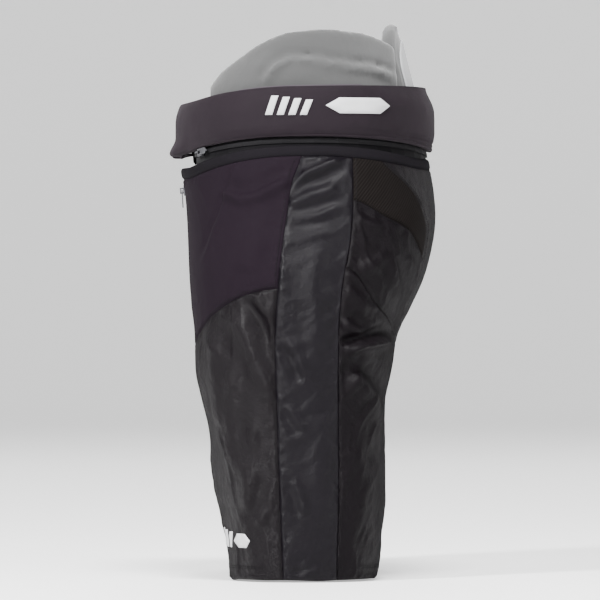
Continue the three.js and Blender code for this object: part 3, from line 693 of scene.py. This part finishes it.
def mirror(piece, name):
    """The same piece on the other side."""
    twin = piece.copy()
    twin.data = piece.data.copy()
    twin.name = twin.data.name = name
    bpy.context.scene.collection.objects.link(twin)
    twin.parent = None
    twin.data.transform(((-1, 0, 0, 0), (0, 1, 0, 0), (0, 0, 1, 0), (0, 0, 0, 1)))
    twin.data.flip_normals()
    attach(twin, "waist")
    return twin


KIDNEY_TURNS = (36.0, 146.0)
KIDNEY_TOP, KIDNEY_THICK, KIDNEY_INSET = 629.0, 14.0, 22.3
KIDNEY_DROP = through([(36, 64), (48, 46), (59, 33), (71, 18), (89, 3), (104, 0), (122, 4), (136, 12),
                       (146, 19)])
GUARD_STAND = 10.0
# Creases pressed into the pad: (line of (y, z), depth, width)
KIDNEY_CREASES = [
    ([(-50, 566), (-44, 580), (-34, 591), (-16, 600), (10, 598), (43, 592), (76, 588), (107, 578)],
     5.2, 3.2),
    ([(-62, 566), (-60, 590), (-40, 608)], 1.0, 7),
    ([(2, 566), (30, 574), (66, 572), (98, 566)], 1.0, 6),
]


def kidney_pad(name, look):
    """The left pad that rises out of the belt at the side."""
    u, v = spaced(250, 3.0), spaced(110, 3.0)
    turn = (KIDNEY_TURNS[0] + (KIDNEY_TURNS[1] - KIDNEY_TURNS[0]) * u)[:, None] + 0 * v
    low = belt_low(turn) + GUARD_STAND
    high = KIDNEY_TOP - KIDNEY_DROP(turn)
    z = low + (high - low) * v
    lean = 7.0 * ease(z, 560, 640)
    points = belt_point(turn, KIDNEY_INSET + KIDNEY_THICK / 2 + lean, z)
    far = np.minimum(np.minimum(u, 1 - u)[:, None] * 250, np.minimum(v, 1 - v)[None, :] * (high - low))
    stand = 0.7 * noise(turn / 16, z / 30, 4.0) + 0.2 * noise(turn / 4, z / 8, 6.0)
    for line, depth, width in KIDNEY_CREASES:
        off, share = along_line(points[..., 1] + FOLD_SHIFT, z, line)
        ends = ease(share, 0, 0.08) * (1 - ease(share, 0.85, 1.0))
        stand -= depth * ends * bump(off, width)
        stand += 0.8 * depth * ends * bump(off + 2.1 * width, 1.3 * width)
    return cushion(name, points, grid_normals(points), KIDNEY_THICK - 2, 6.0, far, look,
                   stand=stand * ease(far, 0, 6), puff=2.5)


SPINE_WIDTH, SPINE_TOP, SPINE_LEAN, SPINE_SAG = 100.0, 640.0, 19.0, 15.0
CAP_WALL, LAYER_GAP, SPINE_FOAM = 2.5, 0.9, 17.0
SPINE_BACK = SIDE + BELT["rear"] - 22.3


def tongue(width, top, inset):
    """The spine guard's upright tongue, as a grid of points with its distance from its edge."""
    u, v = spaced(width, 2.5), spaced(140, 3.0)
    low = float(belt_low(180.0)) + GUARD_STAND
    z = low + (top - low) * v
    crown = np.clip((z - (top - width / 2)) / (width / 2), 0, 0.97)
    half = width / 2 * np.sqrt(1 - crown**2)
    x = (2 * u - 1)[:, None] * half[None, :]
    leaning = np.clip((z - float(belt_top(180.0))) / (SPINE_TOP - float(belt_top(180.0))), 0, 1)
    y = SPINE_BACK - SPINE_SAG * (x / (SPINE_WIDTH / 2)) ** 2 - leaning * SPINE_LEAN - inset
    points = np.stack([-x, y, z + 0 * x], -1)
    far = np.minimum(half[None, :] - np.abs(x), (top - z)[None, :])
    far = np.minimum(far, (z - low)[None, :])
    return points, grid_normals(points), np.clip(far, 0, None)


def spine_guard(cover, cap):
    """The pad behind the back, and the moulded cap on its outer face."""
    points, normal, far = tongue(SPINE_WIDTH, SPINE_TOP, CAP_WALL + LAYER_GAP + SPINE_FOAM / 2)
    rim = bump(far - 6, 2.6) - 1.4 * bump(far - 12, 2.0)
    pad = cushion("spine_guard_pad", points, normal, SPINE_FOAM - 1, 6.0, far, cover,
                  stand=rim * ease(far, 0, 3), puff=1.5)
    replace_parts(pad, "spine_guard_foam")
    points, normal, far = tongue(SPINE_WIDTH - 22, SPINE_TOP - 18, CAP_WALL / 2)
    ribs = 0.8 * bump(far - 5, 1.8) + 0.5 * bump(np.abs(points[..., 0]) - 12, 3)
    plate = cushion("spine_guard_plate", points, normal, CAP_WALL, 1.6, far, cap, stand=ribs)
    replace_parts(plate, "spine_guard_cap")


GUARD_FOAM, GUARD_INSET, LEG_INSET = 13.0, 3.9, 3.4
FOAM_DEPTH = CAP_WALL + LAYER_GAP + GUARD_FOAM / 2
CHANNEL_DEPTH, CHANNEL_WIDTH = 1.6, 3.0


def channels(distance, far):
    """Sewn channels in a foam, for the distance from their lines."""
    return -CHANNEL_DEPTH * bump(distance, CHANNEL_WIDTH) * ease(far, 4, 10)


def guard(label, turns, edges, inset, bends, look):
    """A guard's plastic cap and the foam behind it, on both sides: puffed between sewn channels."""
    turn, z, far, _ = grid([level(turns[0]), level(turns[1])], edges, 4.5)
    normal = turned(turn, z)
    foam = shell(turn, z) - normal * (inset + FOAM_DEPTH)
    channel = np.minimum(np.abs((z % 60) - 30), np.abs((turn % 30) - 15) * 2.0)
    inside = (slice(3, -3), slice(3, -3))
    cap = (shell(turn, z) - normal * (inset + CAP_WALL / 2))[inside]
    cap_far = far[inside] - far[inside].min()
    ribs = -0.5 * bump(cap_far - 8, 2.5)
    sewn = channels(channel, far)
    layers = (
        ("plate", "cap", cap, normal[inside], CAP_WALL, 1.6, cap_far, look["plastic"], "black_plastic",
         ribs),
        ("pad", "foam", foam, normal, GUARD_FOAM - 1.0, 5.0, far, look["foam"], "foam", sewn),
    )
    for name, side in BOTH:
        for layer, node, points, out, thick, rounding, away, material, slot, stand in layers:
            piece = cushion(f"{name}_{label}_{layer}", points * (side, 1, 1), out * (side, 1, 1), thick,
                            rounding, away, material, stand=stand, rides=not bends)
            if side < 0:
                piece.data.flip_normals()
            if bends:
                bend(piece, name, side)
            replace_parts(piece, f"{name}_{label}_{node}")


def tailbone_pad(look):
    """The pad over the tailbone, across the middle of the seat."""
    wide, tall, low = 140, 138, 306
    u, v = spaced(wide, 4.5), spaced(130, 4.5)
    x = ((1 - 2 * u) * wide / 2)[:, None] + 0 * v
    z = low + tall * v[None, :] + 0 * x
    points = shell(turn_across(np.abs(x), z, True), z)
    points[..., 0] = x
    normal = grid_normals(points)
    points = points - normal * (GUARD_INSET + FOAM_DEPTH)
    far = np.minimum(np.minimum(u, 1 - u)[:, None] * wide, np.minimum(v, 1 - v)[None, :] * tall)
    channel = np.minimum(np.abs(np.abs(x) - 28), np.abs((z % 60) - 30))
    pad = cushion("tailbone_pad", points, normal, GUARD_FOAM - 1.0, 5.0, far, look,
                  stand=channels(channel, far))
    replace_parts(pad, "tailbone_foam")


LEG_MIDDLE, LINING_WALL = 119.0, 1.4


def leg_linings(look):
    """A light lining inside each leg, open at both ends."""
    inset = LEG_INSET + CAP_WALL + GUARD_FOAM + 2 * LAYER_GAP
    turn, z = np.meshgrid(np.linspace(-90, 270, 121), np.linspace(5, 215, 54), indexing="ij")
    flat = shell(turn, z)
    inward = (np.array([LEG_MIDDLE, SIDE, 0.0]) - flat) * (1, 1, 0)
    inward = inward / np.linalg.norm(inward, axis=-1, keepdims=True)
    ripple = 1.4 * noise(turn / 9, z / 40, 2.0) + 0.5 * noise(turn / 3, z / 14, 5.0)
    ripple = ripple * ease(turn, -90, -70) * (1 - ease(turn, 250, 270))
    outer = flat + inward * (inset + ripple)[..., None]
    uv = np.stack([turn * 1.7, z], -1) * MM
    for name, side in BOTH:
        piece = closed_shell(f"{name}_leg_lining_cloth", outer, outer + inward * LINING_WALL, uv, look, side)
        bend(piece, name, side)
        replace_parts(piece, f"{name}_leg_lining")


# A strap's section: (shares of its thickness, shares of its width)
STRAP_SECTION = ((0.5, -0.46), (0.5, 0.46), (0.25, 0.5), (-0.25, 0.5), (-0.5, 0.46), (-0.5, -0.46),
                 (-0.25, -0.5), (0.25, -0.5))


def strap(name, line, normals, look):
    """A flat woven strap along a line, upright, with rounded edges."""
    along = np.gradient(line, axis=0)
    along /= np.linalg.norm(along, axis=1, keepdims=True)
    tall = np.cross(along, normals)
    tall /= np.linalg.norm(tall, axis=1, keepdims=True)
    points = np.stack([line + normals * (out * WEB_THICK) + tall * (up * WEB_WIDTH)
                       for out, up in STRAP_SECTION], 1)
    up = np.array([up * WEB_WIDTH for _, up in STRAP_SECTION])
    uv = np.stack(np.broadcast_arrays(run_along(line)[:, None], up), -1).reshape(-1, 2) * MM
    piece = make_mesh(name, points.reshape(-1, 3), bar_faces(*points.shape[:2]), look, uv)
    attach(piece, "waist")
    return piece


WEB_WIDTH, WEB_THICK = 38.0, 2.0
BUCKLE_HALF, BASE_PLATE, RUNNING = 22.0, 2.4, 0.5


def belt_webbing(look):
    """The strap round the belt, and its tail, which crosses the front and passes the buckle."""
    inset = 2.0 + LAYER_GAP + 13.2 + LAYER_GAP + WEB_THICK / 2
    share = (BUCKLE_HALF + RUNNING) / (BELT["half"] - inset)
    start = math.degrees(math.asin(share ** (BELT["power"] / 2)))
    turn = np.linspace(start, 360 - start - 2.5, 140)
    height = (belt_low(turn) + belt_top(turn)) / 2
    round_belt = belt_point(turn, inset, height)
    front = SIDE - BELT["front"] + inset - BASE_PLATE / 2 - RUNNING - WEB_THICK / 2
    middle = (float(belt_low(0.0)) + float(belt_top(0.0))) / 2
    tail = [(x, front, middle) for x in np.linspace(-BUCKLE_HALF - 1, BUCKLE_HALF + 18, 14)]
    line = np.concatenate([round_belt, tail])
    along = np.gradient(line, axis=0)
    normals = np.stack([along[:, 1], -along[:, 0], 0 * along[:, 0]], -1)
    normals /= np.linalg.norm(normals, axis=1, keepdims=True)
    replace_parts(strap("belt_strap", line, normals, look), "belt_webbing")


def gusset(look):
    """The strip that runs between the legs, from the front panels to the back."""
    hang, low_front, low_rear = CROTCH - 25, CROTCH + 41, CROTCH + 50
    front, front_low = (SIDE - float(FRONT(z)) + 5.5 for z in (low_front, hang))
    rear = SIDE + float(REAR(low_rear)) - 6.0
    control = np.array([(front, low_front), (front_low, hang), (rear - 24, hang), (rear, low_rear)])
    steps = np.arange(60)[:, None]
    t = np.linspace(0, 1, len(steps))[:, None]
    curve = sum(math.comb(3, k) * t**k * (1 - t) ** (3 - k) * control[k] for k in range(4))
    slope = np.gradient(curve, axis=0)
    slope /= np.linalg.norm(slope, axis=1, keepdims=True)
    across = np.linspace(-7.4, 7.4, 9)
    grid_x = across[None, :] + 0 * curve[:, :1]
    ripple = 0.3 * noise(grid_x / 5, steps / 4.0, 3.0)
    outer = np.stack([grid_x, curve[:, :1] + 0 * grid_x, curve[:, 1:] + 0 * grid_x], -1)
    inward = np.stack([0 * slope[:, 0], -slope[:, 1], slope[:, 0]], -1)[:, None, :]
    outer = outer + inward * ripple[..., None]
    uv = np.stack([grid_x, steps * 4.0 + 0 * grid_x], -1) * MM
    piece = closed_shell("crotch_gusset_cloth", outer, outer + inward * WALL, uv, look)
    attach(piece, "waist")
    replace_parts(piece, "crotch_gusset")


# ---------- materials ----------
WAVE_SCALE = 0.314159  # a wave texture's scale, times the distance between its waves
CLOTH_TONE = 0.45  # darkens every cloth, to suit the strength of the lights


class Nodes:
    """A short way to write a material's nodes."""

    def __init__(self, name):
        self.material = bpy.data.materials.new(name)
        self.material.use_nodes = True
        self.tree = self.material.node_tree
        self.shader = self.tree.nodes["Principled BSDF"]

    def fill(self, socket, value):
        if isinstance(value, bpy.types.NodeSocket):
            self.tree.links.new(value, socket)
        else:
            socket.default_value = value

    def into(self, name, value):
        self.fill(self.shader.inputs[name], value)

    def add(self, kind, **inputs):
        node = self.tree.nodes.new(kind)
        for name, value in inputs.items():
            self.fill(node.inputs[name.replace("_", " ")], value)
        return node

    def math(self, operation, a, b):
        node = self.add("ShaderNodeMath")
        node.operation = operation
        self.fill(node.inputs[0], a)
        self.fill(node.inputs[1], b)
        return node.outputs[0]

    def mix(self, share, low, high):
        node = self.add("ShaderNodeMix")
        node.data_type = "RGBA"
        for index, value in ((0, share), (6, low), (7, high)):
            self.fill(node.inputs[index], (*value, 1) if isinstance(value, tuple) else value)
        return node.outputs[2]

    def bumped(self, height, distance, strength, base=None):
        node = self.add("ShaderNodeBump", Distance=distance, Strength=strength, Height=height)
        if base is not None:
            self.fill(node.inputs["Normal"], base)
        return node.outputs[0]

    def waves(self, where, pitch, turn=0.0, distortion=0.6):
        """Threads or ribs this far apart, in metres, as a height from 0 to 1."""
        mapping = self.add("ShaderNodeMapping", Rotation=(0, 0, math.radians(turn)), Vector=where)
        wave = self.add("ShaderNodeTexWave", Scale=WAVE_SCALE / pitch, Distortion=distortion,
                        Detail_Scale=2.0, Vector=mapping.outputs[0])
        return wave.outputs["Fac"]

    def speckle(self, where, scale, detail=3.0, roughness=0.6):
        node = self.add("ShaderNodeTexNoise", Scale=scale, Detail=detail, Roughness=roughness, Vector=where)
        return node.outputs["Fac"]

    def worn(self, start, gain, most):
        """Up to this much on outer edges, and none elsewhere."""
        edge = self.add("ShaderNodeNewGeometry").outputs["Pointiness"]
        wear = self.math("MULTIPLY", self.math("SUBTRACT", edge, start), gain)
        return self.math("MAXIMUM", self.math("MINIMUM", wear, most), 0.0)


def linear(color, tone=1.0):
    """A colour given as it looks, in 0 to 255, as the shader wants it."""
    return tuple(tone * ((c / 255 + 0.055) / 1.055) ** 2.4 for c in color)


def shade(color, gain, lift=0.0):
    """A paler or darker colour."""
    return tuple(min(1, c * gain + lift) for c in color)


def cloth(name, color, roughness, sheen, pitch, gloss, weave=0.00012, crumple=0.0012, spread=0.16,
          rib=None, worn=0.12, tone=0.26):
    """A woven or knitted cloth: crossing threads, small crumples, uneven colour, and paler worn edges."""
    n = Nodes(name)
    uv = n.add("ShaderNodeTexCoord").outputs["UV"]
    place = n.add("ShaderNodeTexCoord").outputs["Object"]
    threads = n.math("MULTIPLY", n.waves(uv, pitch), n.waves(uv, pitch, 90))
    if rib:
        threads = n.math("ADD", threads, n.math("MULTIPLY", n.waves(uv, rib[0], rib[1], 0.2), 2.5))
    patches = n.speckle(place, 14, 2)
    grain = n.speckle(place, 420, 2)
    wear = n.worn(0.52, 6 * worn, 0.35)
    base = linear(color, tone * CLOTH_TONE)
    colour = n.mix(patches, shade(base, 1 - spread), shade(base, 1 + spread))
    colour = n.mix(n.math("MULTIPLY", threads, 0.35), colour, shade(base, 1.7))
    colour = n.mix(n.math("MULTIPLY", grain, 0.18), colour, shade(base, 0.55))
    n.into("Base Color", n.mix(wear, colour, shade(base, 2.0, 0.004)))
    rough = n.math("ADD", roughness - 0.07, n.math("MULTIPLY", n.speckle(place, 60, 3), 0.14))
    facing = n.add("ShaderNodeLayerWeight").outputs["Facing"]
    grazing = n.math("MULTIPLY", n.math("SUBTRACT", facing, 0.4), 1.1)
    rough = n.math("ADD", rough, n.math("MAXIMUM", grazing, 0.0))
    n.into("Roughness", n.math("MINIMUM", rough, 1.0))
    n.into("Specular IOR Level", 0.5)
    n.into("IOR", 1 + gloss)
    n.into("Sheen Weight", sheen)
    n.into("Sheen Roughness", 0.45)
    n.into("Sheen Tint", (*shade(base, 8, 0.1), 1))
    large = n.bumped(n.speckle(place, 55, 4, 0.55), crumple, 1.0)
    n.into("Normal", n.bumped(threads, weave, 0.8, large))
    return n.material


def moulded(name, color, roughness, grain=900, metallic=0.0, gloss=0.5):
    """Moulded plastic or cast metal: fine grain, uneven polish, worn edges."""
    n = Nodes(name)
    place = n.add("ShaderNodeTexCoord").outputs["Object"]
    base = linear(color)
    patches = n.speckle(place, 30, 3)
    wear = n.worn(0.53, 5, 0.5)
    colour = n.mix(patches, shade(base, 0.85), shade(base, 1.15))
    n.into("Base Color", n.mix(wear, colour, shade(base, 1.8, 0.03)))
    n.into("Metallic", metallic)
    n.into("Specular IOR Level", gloss)
    n.into("Roughness", n.math("ADD", roughness - 0.08, n.math("MULTIPLY", n.speckle(place, 120, 4), 0.16)))
    n.into("Normal", n.bumped(n.speckle(place, grain, 2), 0.00012, 0.6))
    return n.material


def foam_look(name, color):
    """Foam with a brushed cover: no threads, a soft nap and small pores."""
    n = Nodes(name)
    place = n.add("ShaderNodeTexCoord").outputs["Object"]
    base = linear(color, 0.060)
    colour = n.mix(n.speckle(place, 9, 3), shade(base, 0.93), shade(base, 1.06))
    pores = n.math("MULTIPLY", n.speckle(place, 700, 2), 0.12)
    n.into("Base Color", n.mix(pores, colour, shade(base, 0.6)))
    n.into("Roughness", 0.85)
    n.into("Sheen Weight", 0.25)
    n.into("Sheen Roughness", 0.6)
    large = n.bumped(n.speckle(place, 38, 3), 0.0010, 0.8)
    n.into("Normal", n.bumped(n.speckle(place, 850, 2), 0.00018, 0.6, large))
    return n.material


def open_mesh(name, color, hole):
    """A knitted vent: slanting rows of small dark holes."""
    n = Nodes(name)
    uv = n.add("ShaderNodeTexCoord").outputs["UV"]
    place = n.add("ShaderNodeTexCoord").outputs["Object"]
    rows = n.math("MULTIPLY", n.waves(uv, 0.0033, 40, 0.1), n.waves(uv, 0.0014, -50, 0.1))
    base = linear(color, 0.28)
    colour = n.mix(n.speckle(place, 18, 3), shade(base, 0.85), shade(base, 1.2))
    share = n.math("MINIMUM", n.math("MULTIPLY", rows, 1.7), 1.0)
    n.into("Base Color", n.mix(share, linear(hole, 0.2), colour))
    n.into("Roughness", n.math("ADD", 0.75, n.math("MULTIPLY", n.speckle(place, 90, 2), 0.15)))
    n.into("IOR", 1.08)
    n.into("Normal", n.bumped(rows, 0.0006, 0.9, n.bumped(n.speckle(place, 50, 3), 0.0010, 0.9)))
    return n.material


# ---------- generic marks ----------
# A raised mark's steps: (share of its outline, height above the cloth)
MARK_STEPS = ((1.0, 0.05), (0.97, 0.75), (0.5, 0.8), (0.12, 0.8))


def mark(name, spots, surface, look):
    """Raised flat shapes welded to the cloth. Each spot is a list of (across, up) corners."""
    points, faces = [], []
    along = np.linspace(0, 1, 8, endpoint=False)[:, None]
    for corners in spots:
        corners = np.array(corners, float)
        centre = corners.mean(0)
        sides = zip(corners, np.roll(corners, -1, axis=0))
        outline = np.concatenate([a + (b - a) * along for a, b in sides])
        start, count = len(points), len(outline)
        for share, lift in MARK_STEPS:
            ring = centre + (outline - centre) * share
            points += list(surface(ring[:, 0], ring[:, 1], lift))
        faces += sheet_faces(len(MARK_STEPS), count, start, flip=True, closed=True)
        faces.append(tuple(range(len(points) - count, len(points))))
    piece = make_mesh(name, np.array(points), faces, look)
    return piece


def slanted(start, width, low, high, lean):
    return [(start, low), (start + width, low), (start + width + lean, high), (start + lean, high)]


# ---------- the whole ----------
def half_slot(z):
    """Half of the fly's opening."""
    return 0.3 + 4.7 * ease(z, 312, 318)


def fly(z):
    return np.maximum(turn_across(half_slot(z), z, False), -90)


def leg_slot(z):
    """Half of the inseam's opening, as a turn."""
    return np.degrees(np.arcsin(np.clip((np.where(z < 151, 5.0, 0.2) / 96) ** (LEG_POWER / 2), 0, 1)))


def front_slot(z):
    return leg_slot(z) - 90


def rear_slot(z):
    return 270 - leg_slot(z)


def hem(turn):
    return 1.3 + 1.3 * noise(turn / 17, 0.4)


def build_shell(look):
    knit, nylon, stripe = look["knit"], look["nylon"], look["stripe"]
    vent, dull = look["vent"], look["dull"]
    inner_front, inner_rear, back = level(-65.0), level(245.0), level(270.0)
    panels("front_cloth", "front", [fly, FRONT_SEAM], [ARCH, waist], knit, ["{}_front_panel"])
    panels("side_stripe", "stripe", [FRONT_SEAM, REAR_SEAM], [hem, waist], stripe,
           ["{}_hip_strip", "{}_leg_strip"])
    panels("vent_cloth", "mesh", [REAR_SEAM, back_seam], [MESH_LOW, waist], vent,
           ["{}_mesh_panel"])
    panels("seat_cloth", "seat", [REAR_SEAM, back_seam], [SEAT_LOW, MESH_LOW], dull,
           ["{}_seat_panel"])
    panels("back_cloth", "back", [back_seam, back], [SEAT_LOW, waist], nylon,
           ["back_center_panel"])
    panels("leg_front_cloth", "leg_front", [inner_front, FRONT_SEAM], [hem, ARCH], nylon,
           ["{}_leg_front_panel"])
    panels("leg_rear_cloth", "leg_rear", [REAR_SEAM, inner_rear], [hem, SEAT_LOW], dull,
           ["{}_leg_rear_panel"])
    panels("inner_front_cloth", "inner", [front_slot, inner_front], [hem, ARCH], nylon,
           ["{}_leg_inner_panel"])
    panels("inner_rear_cloth", "inner", [inner_rear, rear_slot], [hem, SEAT_LOW], nylon,
           ["{}_leg_inner_panel"])
    panels("waistband_cloth", "band", [level(-80.0), back], [waist, shell_top], look["band"],
           ["waistband"], step=2.4, lift=0.6)


def seam_stitches(thread):
    """Stitches beside the seams: off lies in turns from a seam, above or below in millimetres."""
    off, above = 1.6, 2.6
    rise, back = np.arange(2, 484, 2.0), np.arange(300, 482, 2.0)
    arch, low = np.arange(-60, FRONT_SEAM(332), 1.2), np.arange(REAR_SEAM(355), 260, 1.2)
    vent, bottom = np.arange(REAR_SEAM(440), BACK_LOW, 1.2), np.arange(-60, 240, 1.2)
    band = np.arange(-70, 262, 1.2)
    stitched("front_seam_stitches", [(FRONT_SEAM(rise) - off, rise, "stripe")], thread)
    stitched("rear_seam_stitches", [(REAR_SEAM(rise) + off, rise, "stripe")], thread)
    stitched("arch_stitches", [(arch, ARCH(arch) + above, "front")], thread)
    stitched("seat_stitches", [(low, SEAT_LOW(low) + above, "seat")], thread)
    stitched("vent_stitches", [(vent, MESH_LOW(vent) - above, "seat")], thread)
    stitched("back_stitches", [(back_seam(back) + off, back, "back")], thread)
    stitched("hem_stitches", [(bottom, 0 * bottom + z, "stripe") for z in (17, 14.6)], thread)
    stitched("band_stitches", [(band, waist(band) + 2.4, "band"), (band, shell_top(band) - 2.2, "band")],
             thread)


def lining_section(turn, angle):
    """A thin quilted sheet behind the belt. It hangs down into the slit between the belt and the shell,
    where its near-black colour is painted shade.
    """
    c, s = np.cos(angle), np.sin(angle)
    low, high = belt_low(turn) - 7, belt_top(turn) - 4
    share = 0.5 + 0.5 * signed_power(s, 0.35)
    quilt = 0.35 * np.cos(np.radians(turn) * 46) * np.cos(share * 9 * math.pi)
    inset = BELT_THICK + 0.6 + 0.8 - (0.8 + quilt * 0.5) * signed_power(c, 0.35)
    return inset, low + (high - low) * share


def below_top(turn):
    return belt_top(turn) - 0.5


def above_low(turn):
    return belt_low(turn) + 1.4


def low_radius(turn):
    return 1.6 + 1.2 * ease(left_turn(turn), 70, 150)


def build_belt(look):
    turns = np.linspace(BELT_FROM, 360 - BELT_FROM, 260)
    cover = ring_piece("belt_padding", belt_cover_section, turns, look["belt"], 64)
    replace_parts(cover, "belt_cover", "belt_foam")
    lining = ring_piece("belt_lining_painted_shade", lining_section, turns, look["lining"], 48)
    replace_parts(lining, "belt_lining")
    top_binding = tube_section(level(15.5), below_top, level(2.0))
    ring_piece("belt_top_binding", top_binding, np.linspace(62, 118, 90), look["binding"], 10)
    low_binding = tube_section(level(4.5), above_low, low_radius)
    ring_piece("belt_low_binding", low_binding, turns, look["belt"], 10)
    belt_webbing(look["web"])


def on_belt(y, z, lift):
    """Points on the belt's left side."""
    side_y = belt_point(BELT_SIDE, 0, 530.0)[:, 1]
    turn = np.array([np.interp(v - FOLD_SHIFT, side_y, BELT_SIDE) for v in y])
    base = belt_point(turn, 0, z)
    out = base - belt_point(turn, 1.0, z)
    out /= np.linalg.norm(out, axis=1, keepdims=True)
    low, high = belt_low(turn), belt_top(turn)
    share = (z - low) / (high - low)
    swell = 1.4 * np.sin(np.pi * share) - 2.5 * ease(share, 0.5, 1.12) ** 1.5 - belt_dents(turn, z)
    return base + out * (swell + lift)[:, None]


def on_leg(turn, z, lift):
    """Points on the left leg's front."""
    stand = relief(turn, z, "leg_front", 1) + 0.5 + lift
    return shell(turn, z) + turned(turn, z) * stand[:, None]


def build_marks(white):
    bars = [slanted(-44 + 13 * i, 8, 529, 529 + 22 - 1.5 * i, 7) for i in range(4)]
    lozenge = [(24, 540), (40, 531), (86, 531), (97, 540), (86, 549), (40, 549)]
    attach(mark("belt_mark", [*bars, lozenge], on_belt, white), "waist")
    bars = [slanted(5 + 9 * i, 5, 38, 38 + 22 - 2 * i, 4) for i in range(3)]
    lozenge = [(33, 46), (38, 38), (50, 38), (55, 46), (50, 54), (38, 54)]
    bend(mark("hem_mark", [*bars, lozenge], on_leg, white), "left", 1)


def hip_top(turn):
    return waist(turn) - 10


def build_guards(look):
    guard("hip", (58, 124), [level(CROTCH + 110), hip_top], GUARD_INSET, False, look)
    guard("thigh", (-34, 118), [level(12), level(CROTCH - 26)], LEG_INSET, True, look)
    tailbone_pad(look["foam"])
    left = kidney_pad("left_kidney_pad_cover", look["grey"])
    right = mirror(left, "right_kidney_pad_cover")
    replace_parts(left, "left_kidney_pad")
    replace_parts(right, "right_kidney_pad")
    spine_guard(look["grey_light"], look["cap"])
    leg_linings(look["vent"])
    gusset(look["dull"])


def dress_cad(look):
    """Materials for the CAD pieces that stay."""
    for name, node in NODES.items():
        if node.hide_render:
            continue
        if "slider" in name or "pull" in name or name == "buckle_pin":
            material = look["metal"]
        elif "tape" in name:
            material = look["tape"]
        else:
            material = look["plastic"]
        if not node.data.materials:
            node.data.materials.append(material)
        for index in range(len(node.data.materials)):
            node.data.materials[index] = material


def make_stage():
    """A pale floor that curves up into a backdrop on every side."""
    reach, radius, top, sides = 13.0, 4.0, 14.0, 64
    profile = [(0.1, 0.0), (0.6, 0.0), (2.0, 0.0), (reach, 0.0)]
    profile += [(reach + radius * math.sin(a), radius * (1 - math.cos(a)))
                for a in np.linspace(0.1, math.pi / 2, 12)]
    profile.append((reach + radius, top))
    angles = [2 * math.pi * i / sides for i in range(sides)]
    points = [(out * math.cos(a), out * math.sin(a), height) for out, height in profile for a in angles]
    faces = sheet_faces(len(profile), sides, closed=True)
    faces.append(tuple(range(sides)))
    n = Nodes("stage")
    n.into("Base Color", n.mix(0.5, (0.74, 0.74, 0.74), (0.76, 0.76, 0.76)))
    n.into("Roughness", 0.7)
    n.into("Emission Color", (1, 1, 1, 1))
    n.into("Emission Strength", 0.5)
    make_mesh("stage", np.array(points) / MM - (0, 0, 0.6), faces, n.material)


def make_looks():
    return {
        "knit": cloth("knit", (60, 46, 60), 0.8, sheen=0.03, pitch=0.0010, gloss=0.12, crumple=0.0006),
        "nylon": cloth("gloss_nylon", (43, 36, 42), 0.30, sheen=0.0, pitch=0.0006,
                       gloss=0.165, crumple=0.0026),
        "dull": cloth("seat_nylon", (40, 33, 39), 0.33, sheen=0.0, pitch=0.0006,
                      gloss=0.125, crumple=0.0024),
        "stripe": cloth("stripe_nylon", (40, 34, 43), 0.31, sheen=0.0, pitch=0.0007,
                        gloss=0.17, crumple=0.0016),
        "band": cloth("waistband_tape", (58, 54, 60), 0.7, sheen=0.04, pitch=0.0012,
                      gloss=0.06, crumple=0.0004),
        "belt": cloth("belt_knit", (74, 62, 72), 0.7, sheen=0.16, pitch=0.0011, gloss=0.14, crumple=0.0005,
                      tone=0.25),
        "binding": cloth("binding", (112, 104, 112), 0.7, sheen=0.1, pitch=0.0010, gloss=0.15, tone=0.5),
        "web": cloth("webbing", (34, 33, 36), 0.6, sheen=0.08, pitch=0.0016, weave=0.0004, gloss=0.2,
                     rib=(0.0042, 45)),
        # the belt lining's near-black colour, far darker than the other cloths, is painted shade for the
        # slit under the belt
        "lining": cloth("belt_lining", (16, 14, 17), 0.9, pitch=0.0012, sheen=0.0, gloss=0.05),
        "tape": moulded("zipper_tape", (9, 8, 10), 0.7, grain=1500, gloss=0.05),
        "vent": open_mesh("vent_mesh", (54, 49, 47), (28, 24, 24)),
        "grey": foam_look("pad_cover", (146, 147, 147)),
        "grey_light": foam_look("spine_cover", (172, 173, 173)),
        "foam": foam_look("foam", (58, 59, 63)),
        "cap": moulded("guard_cap", (150, 151, 152), 0.5),
        "plastic": moulded("black_plastic", (18, 18, 20), 0.4, gloss=0.3),
        "metal": moulded("dark_metal", (84, 84, 88), 0.35, metallic=1.0),
        "thread": cloth("thread", (24, 22, 26), 0.6, sheen=0.1, pitch=0.0004, gloss=0.2),
        "white": cloth("mark_white", (236, 236, 238), 0.6, sheen=0.0, pitch=0.0009, gloss=0.3, worn=0.0,
                       spread=0.03, tone=1.1),
    }


def main():
    look = make_looks()
    make_camera()
    make_stage()
    make_light("key", (3.9, -2.9, 3.1), 0.7, 900)
    make_light("fill", (4.0, 3.4, 1.6), 0.9, 160)
    make_light("top", (1.6, 0.2, 3.8), 1.0, 320)
    make_light("back", (-5.0, 0.0, 5.0), 3.0, 300)
    world = bpy.data.worlds.new("studio")
    world.use_nodes = True
    world.node_tree.nodes["Background"].inputs["Color"].default_value = (1, 1, 1, 1)
    world.node_tree.nodes["Background"].inputs["Strength"].default_value = 0.15
    bpy.context.scene.world = world
    build_shell(look)
    seam_stitches(look["thread"])
    build_belt(look)
    build_guards(look)
    build_marks(look["white"])
    dress_cad(look)


main()
